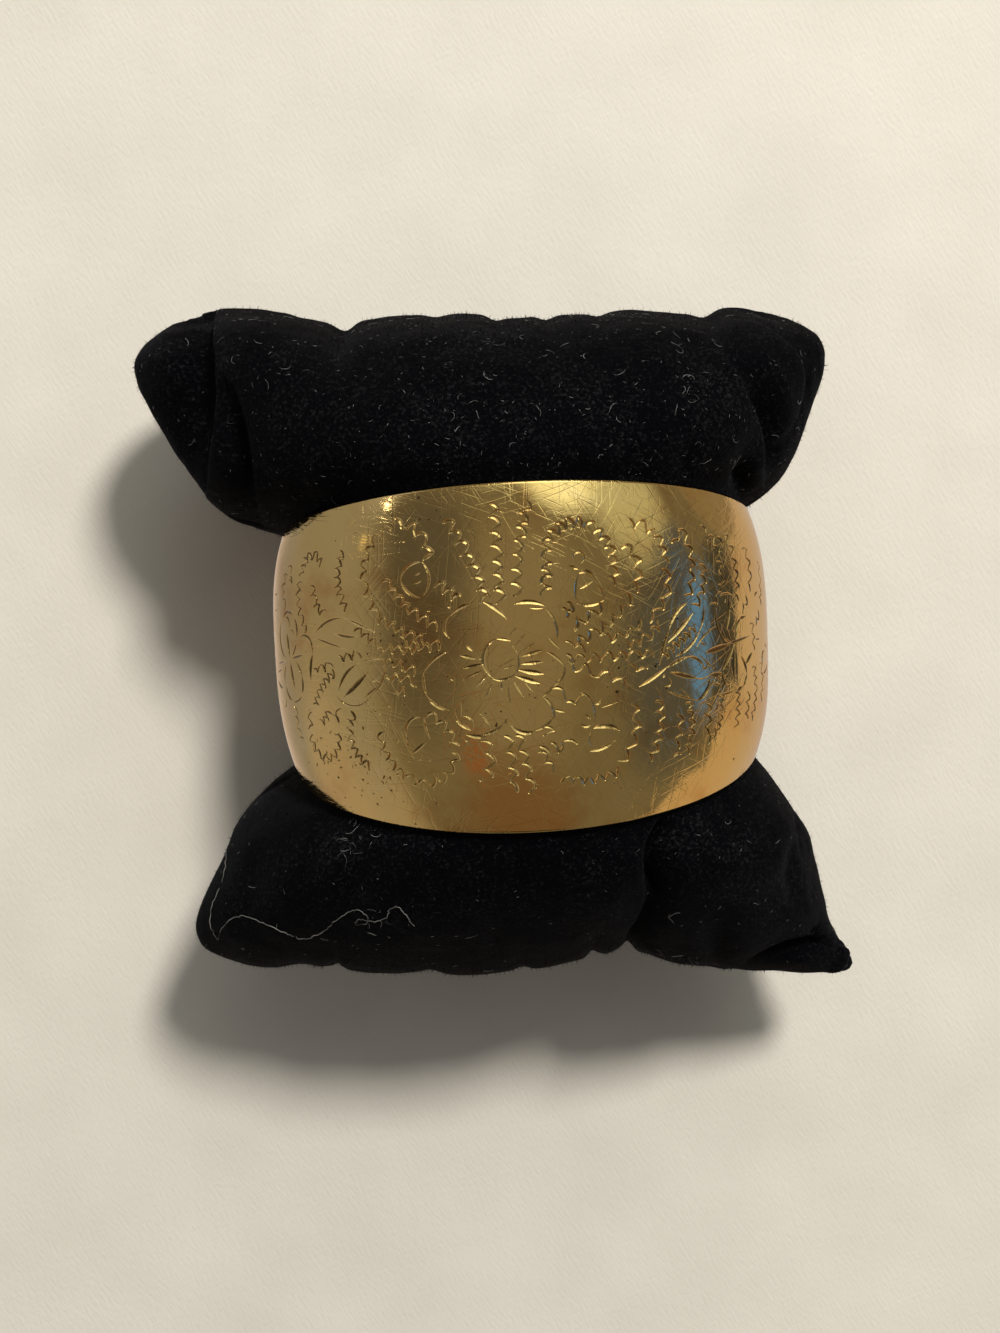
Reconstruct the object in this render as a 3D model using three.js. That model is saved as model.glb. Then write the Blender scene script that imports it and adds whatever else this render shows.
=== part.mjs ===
// A domed brass cuff bracelet on the stuffed velvet pillow that displays it.
// Millimetres, +Z up. The wrist axis runs along Y, the cuff's front faces up and its open back faces down.
// The origin lies on the surface that both stand on, under the middle of the cuff.

import * as THREE from "three";

// Cuff. Across the wrist its outside is an ellipse, measured at the middle of the band.
const cuffHalfWidth = 33;
const cuffHalfHeight = 28;
const bandWidthFront = 42.7;
const bandWidthSide = 30.9;
const sheetThickness = 1.2;
// The band is domed: its rims lie this far inside its middle.
const domeInset = 2;
const domePower = 3;
// Straight gap between the two ends at the back, and the rounding of each end's corners.
const mouthGap = 28;
const endCornerRadius = 5;

// Pillow. Its overall size, and its free play inside the cuff and beside the rims.
const pillowWidth = 93;
const pillowLength = 94;
const pillowHeight = 51;
const pillowClearance = 0.35;
const rimClearance = 0.7;
// Length over which it swells from the cuff's rim to its full outline, and thickness of a sewn edge.
const flareLength = 9;
const flarePower = 5;
const seamThickness = 2.2;
// In the cuff's mouth it bulges down to what it stands on, between these angles from the front.
const mouthBulge = 1.7;
const bulgeFrom = 160 * (Math.PI / 180);
const bulgeFull = 172 * (Math.PI / 180);

// Mesh density.
const aroundSteps = 60;
const acrossSteps = 12;
const rimSteps = 4;
const endCornerSteps = 5;
const pillowColumns = 68;
const neckRows = 3;
const lobeRows = 18;
// How strongly the rows of a lobe crowd towards its two ends.
const rowCrowding = 1.5;

// Shares of pillowLength between which the outline of a sewn end takes over, and the share of a fold's
// length, in half turns, that it starts and ends with.
const endOutlineFrom = 0.3;
const endOutlineFull = 0.47;
const foldStart = 0.12;

// The pillow's free shape, in sections from its front end to its back end along Y.
// along is a share of pillowLength; left and right are shares of pillowWidth; seam is a height, and top
// and bottom are swellings above and below it, all shares of pillowHeight. square rules the roundness.
const pillowSections = [
  { along: -0.490, left: -0.445, right: 0.472, seam: 0.40, top: 0.00, bottom: 0.00, square: 2.0 },
  { along: -0.465, left: -0.490, right: 0.458, seam: 0.40, top: 0.22, bottom: 0.21, square: 2.1 },
  { along: -0.430, left: -0.502, right: 0.441, seam: 0.41, top: 0.33, bottom: 0.34, square: 2.2 },
  { along: -0.370, left: -0.487, right: 0.420, seam: 0.44, top: 0.42, bottom: 0.46, square: 2.2 },
  { along: -0.300, left: -0.450, right: 0.404, seam: 0.47, top: 0.48, bottom: 0.51, square: 2.1 },
  { along: -0.250, left: -0.428, right: 0.375, seam: 0.48, top: 0.49, bottom: 0.53, square: 2.0 },
  { along: -0.160, left: -0.375, right: 0.330, seam: 0.50, top: 0.49, bottom: 0.53, square: 2.0 },
  { along: 0.150, left: -0.385, right: 0.350, seam: 0.50, top: 0.49, bottom: 0.53, square: 2.0 },
  { along: 0.200, left: -0.425, right: 0.378, seam: 0.50, top: 0.49, bottom: 0.53, square: 2.0 },
  { along: 0.265, left: -0.458, right: 0.412, seam: 0.48, top: 0.50, bottom: 0.52, square: 2.1 },
  { along: 0.330, left: -0.488, right: 0.438, seam: 0.45, top: 0.48, bottom: 0.48, square: 2.2 },
  { along: 0.395, left: -0.517, right: 0.452, seam: 0.43, top: 0.42, bottom: 0.40, square: 2.3 },
  { along: 0.440, left: -0.520, right: 0.438, seam: 0.42, top: 0.31, bottom: 0.28, square: 2.2 },
  { along: 0.470, left: -0.450, right: 0.388, seam: 0.42, top: 0.00, bottom: 0.00, square: 2.0 },
];

// Its two sewn ends aren't straight: how far each stands out beyond its section, in shares of pillowLength.
// across is a share of pillowWidth.
const frontEnd = [
  { across: -0.45, out: -0.029 },
  { across: -0.40, out: -0.018 },
  { across: -0.35, out: -0.027 },
  { across: -0.29, out: -0.015 },
  { across: -0.18, out: -0.009 },
  { across: -0.08, out: -0.003 },
  { across: 0.00, out: -0.008 },
  { across: 0.09, out: -0.022 },
  { across: 0.16, out: -0.021 },
  { across: 0.22, out: 0.005 },
  { across: 0.31, out: 0.015 },
  { across: 0.42, out: 0.029 },
  { across: 0.47, out: 0.024 },
];
const backEnd = [
  { across: -0.52, out: -0.018 },
  { across: -0.47, out: 0.002 },
  { across: -0.41, out: 0.020 },
  { across: -0.34, out: 0.014 },
  { across: -0.25, out: -0.011 },
  { across: -0.09, out: -0.006 },
  { across: 0.03, out: -0.017 },
  { across: 0.18, out: -0.013 },
  { across: 0.26, out: -0.022 },
  { across: 0.33, out: -0.013 },
  { across: 0.39, out: -0.021 },
  { across: 0.45, out: -0.028 },
];

// Folds in the velvet, each along a straight line in plan from (x1, y1) to (x2, y2).
// x is in shares of pillowWidth, y of pillowLength, depth and width of pillowHeight.
// side is 1 for the upper panel and -1 for the lower one.
const pillowFolds = [
  { x1: -0.415, y1: 0.49, x2: -0.445, y2: 0.25, depth: 0.085, width: 0.045, side: 1 },
  { x1: -0.385, y1: 0.40, x2: -0.345, y2: 0.20, depth: 0.050, width: 0.040, side: 1 },
  { x1: 0.345, y1: 0.33, x2: 0.325, y2: 0.19, depth: 0.075, width: 0.045, side: 1 },
  { x1: 0.405, y1: 0.37, x2: 0.385, y2: 0.24, depth: 0.045, width: 0.040, side: 1 },
  { x1: 0.185, y1: -0.24, x2: 0.125, y2: -0.47, depth: 0.070, width: 0.045, side: 1 },
  { x1: 0.330, y1: -0.44, x2: 0.450, y2: -0.42, depth: 0.070, width: 0.045, side: 1 },
  { x1: -0.260, y1: -0.30, x2: -0.290, y2: -0.46, depth: 0.035, width: 0.050, side: 1 },
  { x1: -0.230, y1: 0.47, x2: -0.200, y2: 0.36, depth: 0.050, width: 0.050, side: 1 },
  { x1: 0.260, y1: 0.46, x2: 0.240, y2: 0.36, depth: 0.040, width: 0.050, side: 1 },
  { x1: -0.300, y1: 0.42, x2: -0.260, y2: 0.22, depth: 0.050, width: 0.050, side: -1 },
  { x1: 0.300, y1: -0.42, x2: 0.260, y2: -0.22, depth: 0.050, width: 0.050, side: -1 },
];

// Where the cuff's ends stop, as an angle round the ellipse from the front, and its centre's height.
const endAngle = Math.PI - Math.asin(mouthGap / 2 / cuffHalfWidth);
const centreHeight = -cuffHalfHeight * Math.cos(endAngle);

const brass = new THREE.MeshStandardMaterial({ color: 0xb8913f, roughness: 0.28, metalness: 1 });
const velvet = new THREE.MeshStandardMaterial({ color: 0x0b0b0c, roughness: 0.95, metalness: 0 });

const clamp01 = (x) => Math.min(1, Math.max(0, x));
const smooth = (x) => clamp01(x) ** 2 * (3 - 2 * clamp01(x));

// A table's column at a place between its rows, on a smooth curve through them.
function lookUp(rows, key, column, at) {
  const last = rows.length - 1;
  let i = 0;
  while (i < last - 1 && rows[i + 1][key] < at) i += 1;
  const [a, b] = [rows[i], rows[i + 1]];
  const [before, after] = [rows[Math.max(0, i - 1)], rows[Math.min(last, i + 2)]];
  const span = b[key] - a[key];
  const t = clamp01((at - a[key]) / span);
  const slopeA = ((b[column] - before[column]) / (b[key] - before[key])) * span;
  const slopeB = ((after[column] - a[column]) / (after[key] - a[key])) * span;
  const rise = 3 * t ** 2 - 2 * t ** 3;
  return a[column] * (1 - rise) + b[column] * rise
    + slopeA * (t ** 3 - 2 * t ** 2 + t) + slopeB * (t ** 3 - t ** 2);
}

// A closed mesh through rings of equally many points. Every ring starts at one side, passes over the top
// to its halfway point at the other side, and comes back. Each end is filled by strips across its ring.
function loft(rings) {
  const count = rings[0].length;
  const lastRing = (rings.length - 1) * count;
  const index = [];
  for (let start = 0; start < lastRing; start += count) {
    for (let c = 0; c < count; c += 1) {
      const [a, b] = [start + c, start + (c + 1) % count];
      index.push(a, b, b + count, a, b + count, a + count);
    }
  }
  for (let c = 0; c < count / 2; c += 1) {
    const [a, b] = [c, c + 1];
    const [over, back] = [count - c - 1, (count - c) % count];
    if (b !== over) index.push(over, b, a, lastRing + a, lastRing + b, lastRing + over);
    if (a !== back) index.push(back, over, a, lastRing + a, lastRing + over, lastRing + back);
  }
  const geometry = new THREE.BufferGeometry();
  const positions = rings.flat().flatMap((p) => p.toArray());
  geometry.setAttribute("position", new THREE.Float32BufferAttribute(positions, 3));
  geometry.setIndex(index);
  geometry.computeVertexNormals();
  return geometry;
}

// Width of the band at an angle round the cuff, 0 at the front, before its end corners are rounded.
function bandWidth(angle) {
  return bandWidthFront - (bandWidthFront - bandWidthSide) * (1 - Math.cos(angle));
}

// The band cut across, as [along the wrist axis, out from the ellipse]: once round from the middle of a rim.
// cutBack is how much each rim is cut back where an end's corners are rounded.
function bandSection(angle, cutBack) {
  const rimRadius = sheetThickness / 2;
  const fullHalf = bandWidth(angle) / 2 - rimRadius;
  const half = fullHalf - cutBack;
  const dome = (y) => -domeInset * Math.abs(y / fullHalf) ** domePower;
  const face = (direction, depth) =>
    Array.from({ length: acrossSteps + 1 }, (_, i) => {
      const y = direction * half * (2 * i / acrossSteps - 1);
      return [y, dome(y) - depth];
    });
  const rim = (side, step) => {
    const turn = (Math.PI * step) / rimSteps;
    return [side * (half + rimRadius * Math.sin(turn)), rimRadius * (Math.cos(turn) - 1) + dome(half)];
  };
  const steps = Array.from({ length: rimSteps - 1 }, (_, i) => i + 1);
  const outer = steps.filter((step) => step <= rimSteps / 2).reverse();
  const inner = steps.filter((step) => step > rimSteps / 2).reverse();
  return [
    ...outer.map((step) => rim(1, step)),
    ...face(-1, 0),
    ...steps.map((step) => rim(-1, step)),
    ...face(1, sheetThickness),
    ...inner.map((step) => rim(1, step)),
  ];
}

// A point of the cuff, from a place on its cut section and the angle of the section.
function cuffPoint([y, out], angle) {
  const normal = new THREE.Vector2(Math.sin(angle) / cuffHalfWidth, Math.cos(angle) / cuffHalfHeight);
  normal.normalize();
  return new THREE.Vector3(
    cuffHalfWidth * Math.sin(angle) + out * normal.x,
    y,
    centreHeight + cuffHalfHeight * Math.cos(angle) + out * normal.y,
  );
}

// The angles of the cuff's sections, and how much each is cut back to round an end's corners.
function cuffStations() {
  const speed = Math.hypot(cuffHalfWidth * Math.cos(endAngle), cuffHalfHeight * Math.sin(endAngle));
  const corner = Array.from({ length: endCornerSteps }, (_, i) => {
    const turn = (Math.PI / 2) * (i / endCornerSteps);
    const fromEnd = endCornerRadius * (1 - Math.cos(turn));
    return { angle: endAngle - fromEnd / speed, cutBack: endCornerRadius * (1 - Math.sin(turn)) };
  });
  const straightAngle = endAngle - endCornerRadius / speed;
  const middle = Array.from({ length: aroundSteps + 1 }, (_, i) =>
    ({ angle: straightAngle * (2 * i / aroundSteps - 1), cutBack: 0 }));
  const mirrored = corner.map(({ angle, cutBack }) => ({ angle: -angle, cutBack }));
  return [...mirrored, ...middle, ...corner.reverse()];
}

function cuffGeometry() {
  return loft(cuffStations().map(({ angle, cutBack }) =>
    bandSection(angle, cutBack).map((place) => cuffPoint(place, angle))));
}

// How deep the folds of one panel press in at a place in plan.
function foldDepth(x, y, side) {
  const place = new THREE.Vector2(x / pillowWidth, y / pillowLength);
  const aspect = new THREE.Vector2(pillowWidth, pillowLength).divideScalar(pillowHeight);
  let depth = 0;
  for (const fold of pillowFolds.filter((row) => row.side === side)) {
    const start = new THREE.Vector2(fold.x1, fold.y1);
    const run = new THREE.Vector2(fold.x2, fold.y2).sub(start).multiply(aspect);
    const reach = place.clone().sub(start).multiply(aspect);
    const share = clamp01(reach.dot(run) / run.lengthSq());
    const away = reach.distanceTo(run.multiplyScalar(share));
    const taper = Math.sin(Math.PI * (foldStart + (1 - 2 * foldStart) * share));
    depth += fold.depth * pillowHeight * taper * Math.exp(-((away / fold.width) ** 2));
  }
  return depth;
}

// The pillow where the cuff squeezes it: an ellipse that clears the rims' inner faces.
function neckPoint(y, angle) {
  const squeeze = sheetThickness + domeInset + pillowClearance;
  const bulge = mouthBulge * smooth((Math.abs(angle) - bulgeFrom) / (bulgeFull - bulgeFrom));
  return new THREE.Vector3(
    (cuffHalfWidth - squeeze) * Math.sin(angle),
    y,
    centreHeight + (cuffHalfHeight - squeeze + bulge) * Math.cos(angle),
  );
}

// The pillow where it is free: a rounded section that swells above and below its seam.
function lobePoint(y, angle) {
  const along = y / pillowLength;
  const at = (column) => lookUp(pillowSections, "along", column, along);
  const power = 2 / at("square");
  const [sine, cosine] = [Math.sin(angle), Math.cos(angle)];
  const [left, right] = [at("left") * pillowWidth, at("right") * pillowWidth];
  const x = (left + right + (right - left) * Math.sign(sine) * Math.abs(sine) ** power) / 2;
  const side = Math.sign(cosine) || 1;
  const swell = at(side > 0 ? "top" : "bottom") * pillowHeight - foldDepth(x, y, side);
  const rise = Math.max(seamThickness / 2, swell) * Math.abs(cosine) ** power;
  const end = lookUp(y < 0 ? frontEnd : backEnd, "across", "out", x / pillowWidth) * pillowLength;
  const outlined = smooth((Math.abs(along) - endOutlineFrom) / (endOutlineFull - endOutlineFrom));
  const shift = Math.sign(y) * end * outlined;
  return new THREE.Vector3(x, y + shift, at("seam") * pillowHeight + side * rise);
}

// The whole pillow: squeezed between the cuff's rims, free past them, and flat on what it stands on.
function pillowPoint(y, angle) {
  const pastRim = clamp01((Math.abs(y) - rimReach(angle)) / flareLength);
  const free = 1 - (1 - pastRim) ** flarePower;
  const point = neckPoint(y, angle).lerp(lobePoint(y, angle), free);
  point.z = Math.max(0, point.z);
  return point;
}

// How far from the cuff's middle its rim stops holding the pillow.
function rimReach(angle) {
  return bandWidth(angle) / 2 + rimClearance;
}

// The rows of the pillow's mesh follow the rims: 0 is its middle, and rows count up to either end.
function rowPlace(row, angle) {
  const step = Math.abs(row);
  const reach = rimReach(angle);
  if (step <= neckRows) return (reach * row) / neckRows;
  const last = row < 0 ? pillowSections[0] : pillowSections[pillowSections.length - 1];
  const share = (step - neckRows) / lobeRows;
  const spread = (share ** rowCrowding + 1 - (1 - share) ** rowCrowding) / 2;
  return Math.sign(row) * (reach + (Math.abs(last.along) * pillowLength - reach) * spread);
}

function pillowGeometry() {
  const lastRow = neckRows + lobeRows;
  return loft(Array.from({ length: 2 * lastRow + 1 }, (_, r) =>
    Array.from({ length: pillowColumns }, (_, c) => {
      const turn = (2 * Math.PI * c) / pillowColumns - Math.PI / 2;
      const angle = turn > Math.PI ? turn - 2 * Math.PI : turn;
      return pillowPoint(rowPlace(r - lastRow, angle), angle);
    })));
}

function named(name, geometry, material) {
  const mesh = new THREE.Mesh(geometry, material);
  mesh.name = name;
  return mesh;
}

const bracelet = new THREE.Group();
bracelet.add(
  named("cuff_band", cuffGeometry(), brass),
  named("display_pillow", pillowGeometry(), velvet),
);

export default bracelet;
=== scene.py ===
"""Looks for a brass cuff bracelet on its stuffed velvet pillow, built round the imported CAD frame."""
import math
import random

import bpy
import numpy as np
from mathutils import Matrix, Vector, kdtree, noise
from mathutils.bvhtree import BVHTree
from mathutils.geometry import delaunay_2d_cdt


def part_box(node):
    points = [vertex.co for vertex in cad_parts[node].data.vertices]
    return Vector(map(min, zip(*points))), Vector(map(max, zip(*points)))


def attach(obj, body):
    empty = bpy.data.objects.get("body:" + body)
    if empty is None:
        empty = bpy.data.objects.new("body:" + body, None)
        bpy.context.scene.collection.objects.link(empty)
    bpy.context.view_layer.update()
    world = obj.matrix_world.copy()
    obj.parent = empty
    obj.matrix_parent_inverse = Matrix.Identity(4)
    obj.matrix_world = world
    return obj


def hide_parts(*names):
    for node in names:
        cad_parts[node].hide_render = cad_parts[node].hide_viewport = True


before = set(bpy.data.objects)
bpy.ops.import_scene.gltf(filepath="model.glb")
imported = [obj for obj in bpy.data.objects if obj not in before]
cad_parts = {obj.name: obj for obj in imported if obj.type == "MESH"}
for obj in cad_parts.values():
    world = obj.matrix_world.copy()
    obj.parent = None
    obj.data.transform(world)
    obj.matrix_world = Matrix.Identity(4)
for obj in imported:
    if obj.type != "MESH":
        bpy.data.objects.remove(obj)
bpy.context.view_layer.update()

MM = 0.001
CUFF_LOW, CUFF_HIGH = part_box("cuff_band")

# The cuff in millimetres, as the CAD has it. What a box gives is read from the frame.
HALF_WIDTH = (CUFF_HIGH.x - CUFF_LOW.x) / 2 / MM
BAND_FRONT = (CUFF_HIGH.y - CUFF_LOW.y) / MM
MOUTH_GAP = 28
BAND_SIDE = 30.9
SHEET = 1.2
DOME_INSET = 2
DOME_POWER = 3
END_CORNER = 5
RIM = SHEET / 2
MOUTH_COSINE = math.sqrt(1 - (MOUTH_GAP / 2 / HALF_WIDTH) ** 2)
HALF_HEIGHT = (CUFF_HIGH.z - CUFF_LOW.z) / MM / (1 + MOUTH_COSINE)
CENTRE_HEIGHT = CUFF_LOW.z / MM + HALF_HEIGHT * MOUTH_COSINE
END_ANGLE = math.pi - math.asin(MOUTH_GAP / 2 / HALF_WIDTH)

# How the cuff is finished: the slope of a cut's two sides, the depth at which its tarnish and painted shade
# are full, the tilt of the wear in its face and the steps round its rolled rim.
CUT_SLOPE = 0.6
CUT_FULL = 0.16
DENT_SLOPE = 0.008
RIM_STEPS = 6
# The tarnish and painted shade in the cuts get wider by this share, from one arc length off the front to
# another.
GRIME_AND_SHADE = 1.1
GRIME_AND_SHADE_FROM = 16
GRIME_AND_SHADE_FULL = 24
SEED = 7
# Turns of the layers of fine scratches, in radians.
SCRATCH_TURNS = [0.3, 0.95, 1.5, 2.1, 2.75]

# The pillow's remeshing and simulation: the voxel, the frames and the most that a place may move.
PILLOW_VOXEL = 1.2 * MM
SWELL_FRAMES = 12
SWELL_CAP = 1.5 * MM
# In metres past the rims, where the cuff's hold on the simulated pillow starts to fade and over how far,
# and how far above the table the pillow is held too.
HOLD_FROM, HOLD_OVER = 1 * MM, 6 * MM
HELD_BELOW = 0.6 * MM
# The share of the filling's thickness that creases may press in, and in millimetres past the rims, where
# they start and over how far they become free.
MOST_PRESSED = 0.35
FREE_FROM, FREE_OVER = 0.2, 2.4

# Heights of the pillow's sewn edge along the wrist axis. columns: y, height, both in millimetres
SEAM_HEIGHTS = [(-46, 20.4), (-28, 24), (0, 25.5), (25, 24.5), (41, 21.4)]
STITCH_PITCH = 3
# How far the pile stands out from the cloth, in millimetres.
PILE = 0.35

# Creases of the velvet, seen from above, each through three places and in millimetres. left and right
# are its widths on either side of its run, so a narrow side is a steep one. panel is 1 for the upper
# cloth, -1 for the lower one and 0 for both. A depth below 0 stands out.
# columns: start x, start y, middle x, middle y, end x, end y, depth, left, right, panel
CREASES = [
    (-39.1, 46.5, -37.6, 36, -40.4, 22, 3.4, 0.5, 4.6, 1),
    (-34.4, 34, -33, 25, -34, 16.5, 2.4, 0.5, 2.6, 1),
    (29.3, 31.5, 32.1, 26.4, 32.6, 20.5, 2.6, 2.4, 0.6, 1),
    (29, 21.6, 28.6, 19, 28.6, 16.5, 2.2, 1, 1, 1),
    (29.5, 41, 37.9, 35.6, 35, 24, 1.5, 3.4, 0.8, 1),
    (-23, 44, -21.4, 41, -20.6, 38, 0.9, 1.8, 1.6, 1),
    (16.6, -20.6, 14.9, -25, 14.8, -31, 4, 0.8, 0.65, 1),
    (15, -28, 14.2, -34, 11.2, -42.5, 1.8, 1.2, 0.8, 1),
    (19, -22, 17.2, -31, 15.6, -40, -0.8, 2.2, 1.6, 1),
    (30.6, -18, 35.4, -24, 35.7, -29.5, 1.3, 3, 0.8, 1),
    (35.2, -26.5, 33.4, -31, 35.2, -36.6, 0.8, 1.2, 1.2, 1),
    (28, -44.6, 33.6, -42.4, 42.4, -45.4, 2.6, 0.5, 2.6, 1),
    (37.3, -40.9, 37.6, -41, 37.9, -40.9, 1.2, 0.7, 0.7, 1),
    (-25.5, -19.5, -22.4, -25.4, -24, -31, 0.8, 2, 1.6, 1),
    (-33, -24, -37, -30, -38, -38, 0.7, 2.4, 2, 1),
    (-4, -40.5, -5, -37, -4, -33, 0.6, 2, 1.8, 1),
    (22, -44, 22.6, -40, 22, -36, 0.6, 1.6, 1.6, 1),
    (6, 42.5, 6.6, 39.5, 5.6, 36, 0.5, 1.8, 1.6, 1),
    (-41, 45, -46, 41.4, -48, 37.5, -0.9, 3, 3, 0),
    (-48, 37.5, -45.8, 32, -42.6, 26, -0.8, 3, 3, 0),
    (41.5, -46, 43.4, -47.6, 44.4, -48.6, -1.4, 3, 3, 0),
    (43, 40.5, 43.6, 38, 43.4, 35, -0.7, 2.6, 2.6, 0),
    (-33, 40, -30, 30, -31, 20, 1.6, 1.2, 2.4, -1),
    (30, 38, 27, 29, 29, 20, 1.6, 2, 1.2, -1),
    (33, -39, 28, -30, 29, -21, 1.6, 1.2, 2.2, -1),
    (-34, -38, -29, -30, -28, -21, 1.4, 2.2, 1.2, -1),
]
# Small pleats at the two sewn ends, each running in through three distances from the cuff's middle.
# columns: x, end (-1 is the near one), depth, width
PLEAT_RUN = (47, 43.5, 37)
PLEATS = [
    (-27.2, -1, 1, 1.1), (-14.5, -1, 0.5, 1.6), (-2, -1, 0.6, 1.3), (7.6, -1, 1, 1),
    (12.6, -1, 1.3, 0.9), (24, -1, 0.7, 1.4), (-21.4, 1, 1.1, 1.4), (-9, 1, 0.4, 1.4),
    (-1.2, 1, 0.6, 1.2), (5.4, 1, 0.6, 1.1), (12.4, 1, 0.5, 1.3), (26.5, 1, 0.8, 1.5),
]
# How many small wrinkles fan out from each side of each rim.
WRINKLES_A_SIDE = 9

# The loose thread, seen from above. columns: x, y, both in millimetres
THREAD = [
    (-41.6, -25.2), (-40.7, -26.8), (-41.2, -29.5), (-42.8, -32.5), (-43.4, -35.3), (-42.6, -37.8),
    (-41.6, -35.6), (-40, -33.8), (-37.7, -33), (-34, -34), (-31.8, -35.4), (-29.9, -36),
    (-27.9, -35.2), (-26.3, -33.8), (-24.4, -32), (-22.2, -31), (-21, -32), (-21.4, -33.2),
    (-23, -33.4), (-22.4, -32.4), (-20.4, -32.8), (-18.6, -32), (-18.2, -30.8), (-17.3, -30.4),
    (-16.2, -31.6), (-15.3, -33.4),
]
# The pile's hairs: how many, how thick and how long, how far from the rims they start, and how much
# they lean. Lengths are in millimetres.
HAIRS = 26000
HAIR_RADIUS = 0.035
HAIR_LENGTH = 0.42
HAIRLESS = 0.8
HAIR_LEAN = 0.45
# The caught lint, and the step in millimetres by which a fibre creeps over the pillow.
CRAWL_STEP = 0.22
FIBRES = 1000
SPECKS = 500
# Where fibres gather. columns: x, y, reach, fibres, longest, in millimetres
TUFTS = [
    (-24, -22.5, 2.6, 9, 3.2),
    (-20, -31.8, 2.4, 8, 2),
    (21, -44, 2.2, 14, 2.4),
    (15, -43, 2, 8, 2),
    (20, 40, 2, 8, 2.4),
    (22, 31, 3, 9, 2.8),
]

# Half the floor's side, in metres.
FLOOR_HALF = 0.9
# What the camera sees past the floor: plain and pale.
BACKDROP = (0.56, 0.55, 0.52)
# The room round the stage, which the brass mirrors: a dim ceiling, a bright window behind on the right,
# pale walls low on the left and a blue thing on the right. Later rows cover earlier ones.
# columns: azimuth from +X, tilt from straight up, tilt off its middle where it is full, and where it
# ends, all in degrees, and its colour
ROOM_DIM = (0.19, 0.18, 0.155)
ROOM = [
    (30, 0, 4, 30, (0.265, 0.245, 0.215)),
    (165, 42, 6, 30, (0.11, 0.105, 0.105)),
    (352, 60, 8, 26, (0.1, 0.11, 0.14)),
    (265, 40, 8, 28, (0.185, 0.125, 0.085)),
    (222, 27, 1, 7, (0.27, 0.13, 0.08)),
    (212, 88, 12, 35, (0.41, 0.38, 0.36)),
    (140, 78, 8, 22, (0.52, 0.54, 0.6)),
    (63, 47, 12, 22, (1.3, 1.42, 1.3)),
    (28, 55, 6, 22, (0.58, 0.62, 0.55)),
    (78, 64, 8, 18, (2.6, 2.6, 2.3)),
    (265, 68, 8, 24, (0.05, 0.04, 0.03)),
    (7, 70, 3, 10, (0.09, 0.13, 0.26)),
    (358, 96, 9, 13, (0.07, 0.08, 0.1)),
    (356, 79, 5, 9, (0.12, 0.34, 1.15)),
    (100, 44, 3, 14, (0.75, 0.8, 0.7)),
    (150, 65, 0.7, 2, (9, 9, 9)),
    (165.5, 71.6, 0.8, 2.4, (4, 3.4, 1.8)),
    (0, 180, 70.5, 72, (0.58, 0.48, 0.4)),
    (320, 88, 15, 16.5, (0.6, 0.48, 0.36)),
    (338, 103, 12, 13.5, (0.6, 0.48, 0.36)),
    (32, 108, 22, 24, (0.29, 0.25, 0.2)),
    (178, 106, 26, 56, (0.32, 0.32, 0.33)),
    (207, 100, 10, 26, (0.44, 0.41, 0.4)),
]

# One square of the engraving's chart. The chart counts squares from the middle of the front:
# s runs round the outside of the cuff, to the right, and t along the wrist axis, away from the viewer.
SQUARE = BAND_FRONT / 42.7

# Cuts made with a push of the graver. Each runs through three places, and width is in squares.
# columns: start s, start t, middle s, middle t, end s, end t, width
FLOWER_CUTS = [
    (-3.3, 2.75, -4.95, 0.6, -3.9, -1.9, 0.5),
    (-3.9, -2, -2.6, -2.15, -1.2, -1.4, 0.35),
    (-1.1, -1.4, -0.7, 0.2, -1.4, 1.8, 0.32),
    (-1.6, 2.4, -2.4, 2.65, -3.3, 2.7, 0.3),
    (-6.1, 6.9, -7.6, 6.5, -8.7, 5.6, 0.45),
    (-8.8, 5.6, -9.5, 4.4, -8.9, 3, 0.42),
    (-4.6, 7.1, -3, 6.2, -1.95, 5.05, 0.58),
    (-1, 6.7, 0.9, 6.9, 2.7, 6.3, 0.52),
    (2.7, 6, 3.8, 4.4, 3.9, 2.4, 0.38),
    (2.6, 0.9, 3.7, 0.2, 4.6, -0.9, 0.35),
    (4.7, -0.9, 4.2, -2.4, 3.2, -3.2, 0.35),
    (3.3, -3, 2.4, -4, 1.7, -4.5, 0.4),
    (2, -4.5, 3, -5.7, 3.1, -7.1, 0.42),
    (3, -6.9, 2, -7.9, 0.6, -8.45, 0.4),
    (0.8, -8.5, -0.9, -8.5, -2.2, -7.2, 0.52),
    (-2.9, -7.3, -4.2, -8.3, -5.6, -8.65, 0.42),
    (-5, -8.9, -6.2, -8.85, -7.5, -8.6, 0.52),
    (-7.9, -7.4, -8.7, -6.5, -8.7, -5.5, 0.35),
    (-9.2, 1.4, -10.9, 0.6, -12.3, -1, 0.42),
    (-12.4, -1, -12.4, -2.6, -12.1, -3.9, 0.4),
    (-12.1, -3.8, -11, -5, -9.4, -5.6, 0.42),
    (-7.9, -6.3, -7.1, -6.5, -6.7, -8, 0.3),
    (-5.7, -6.1, -4.9, -7.1, -4.5, -8.1, 0.3),
]
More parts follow.
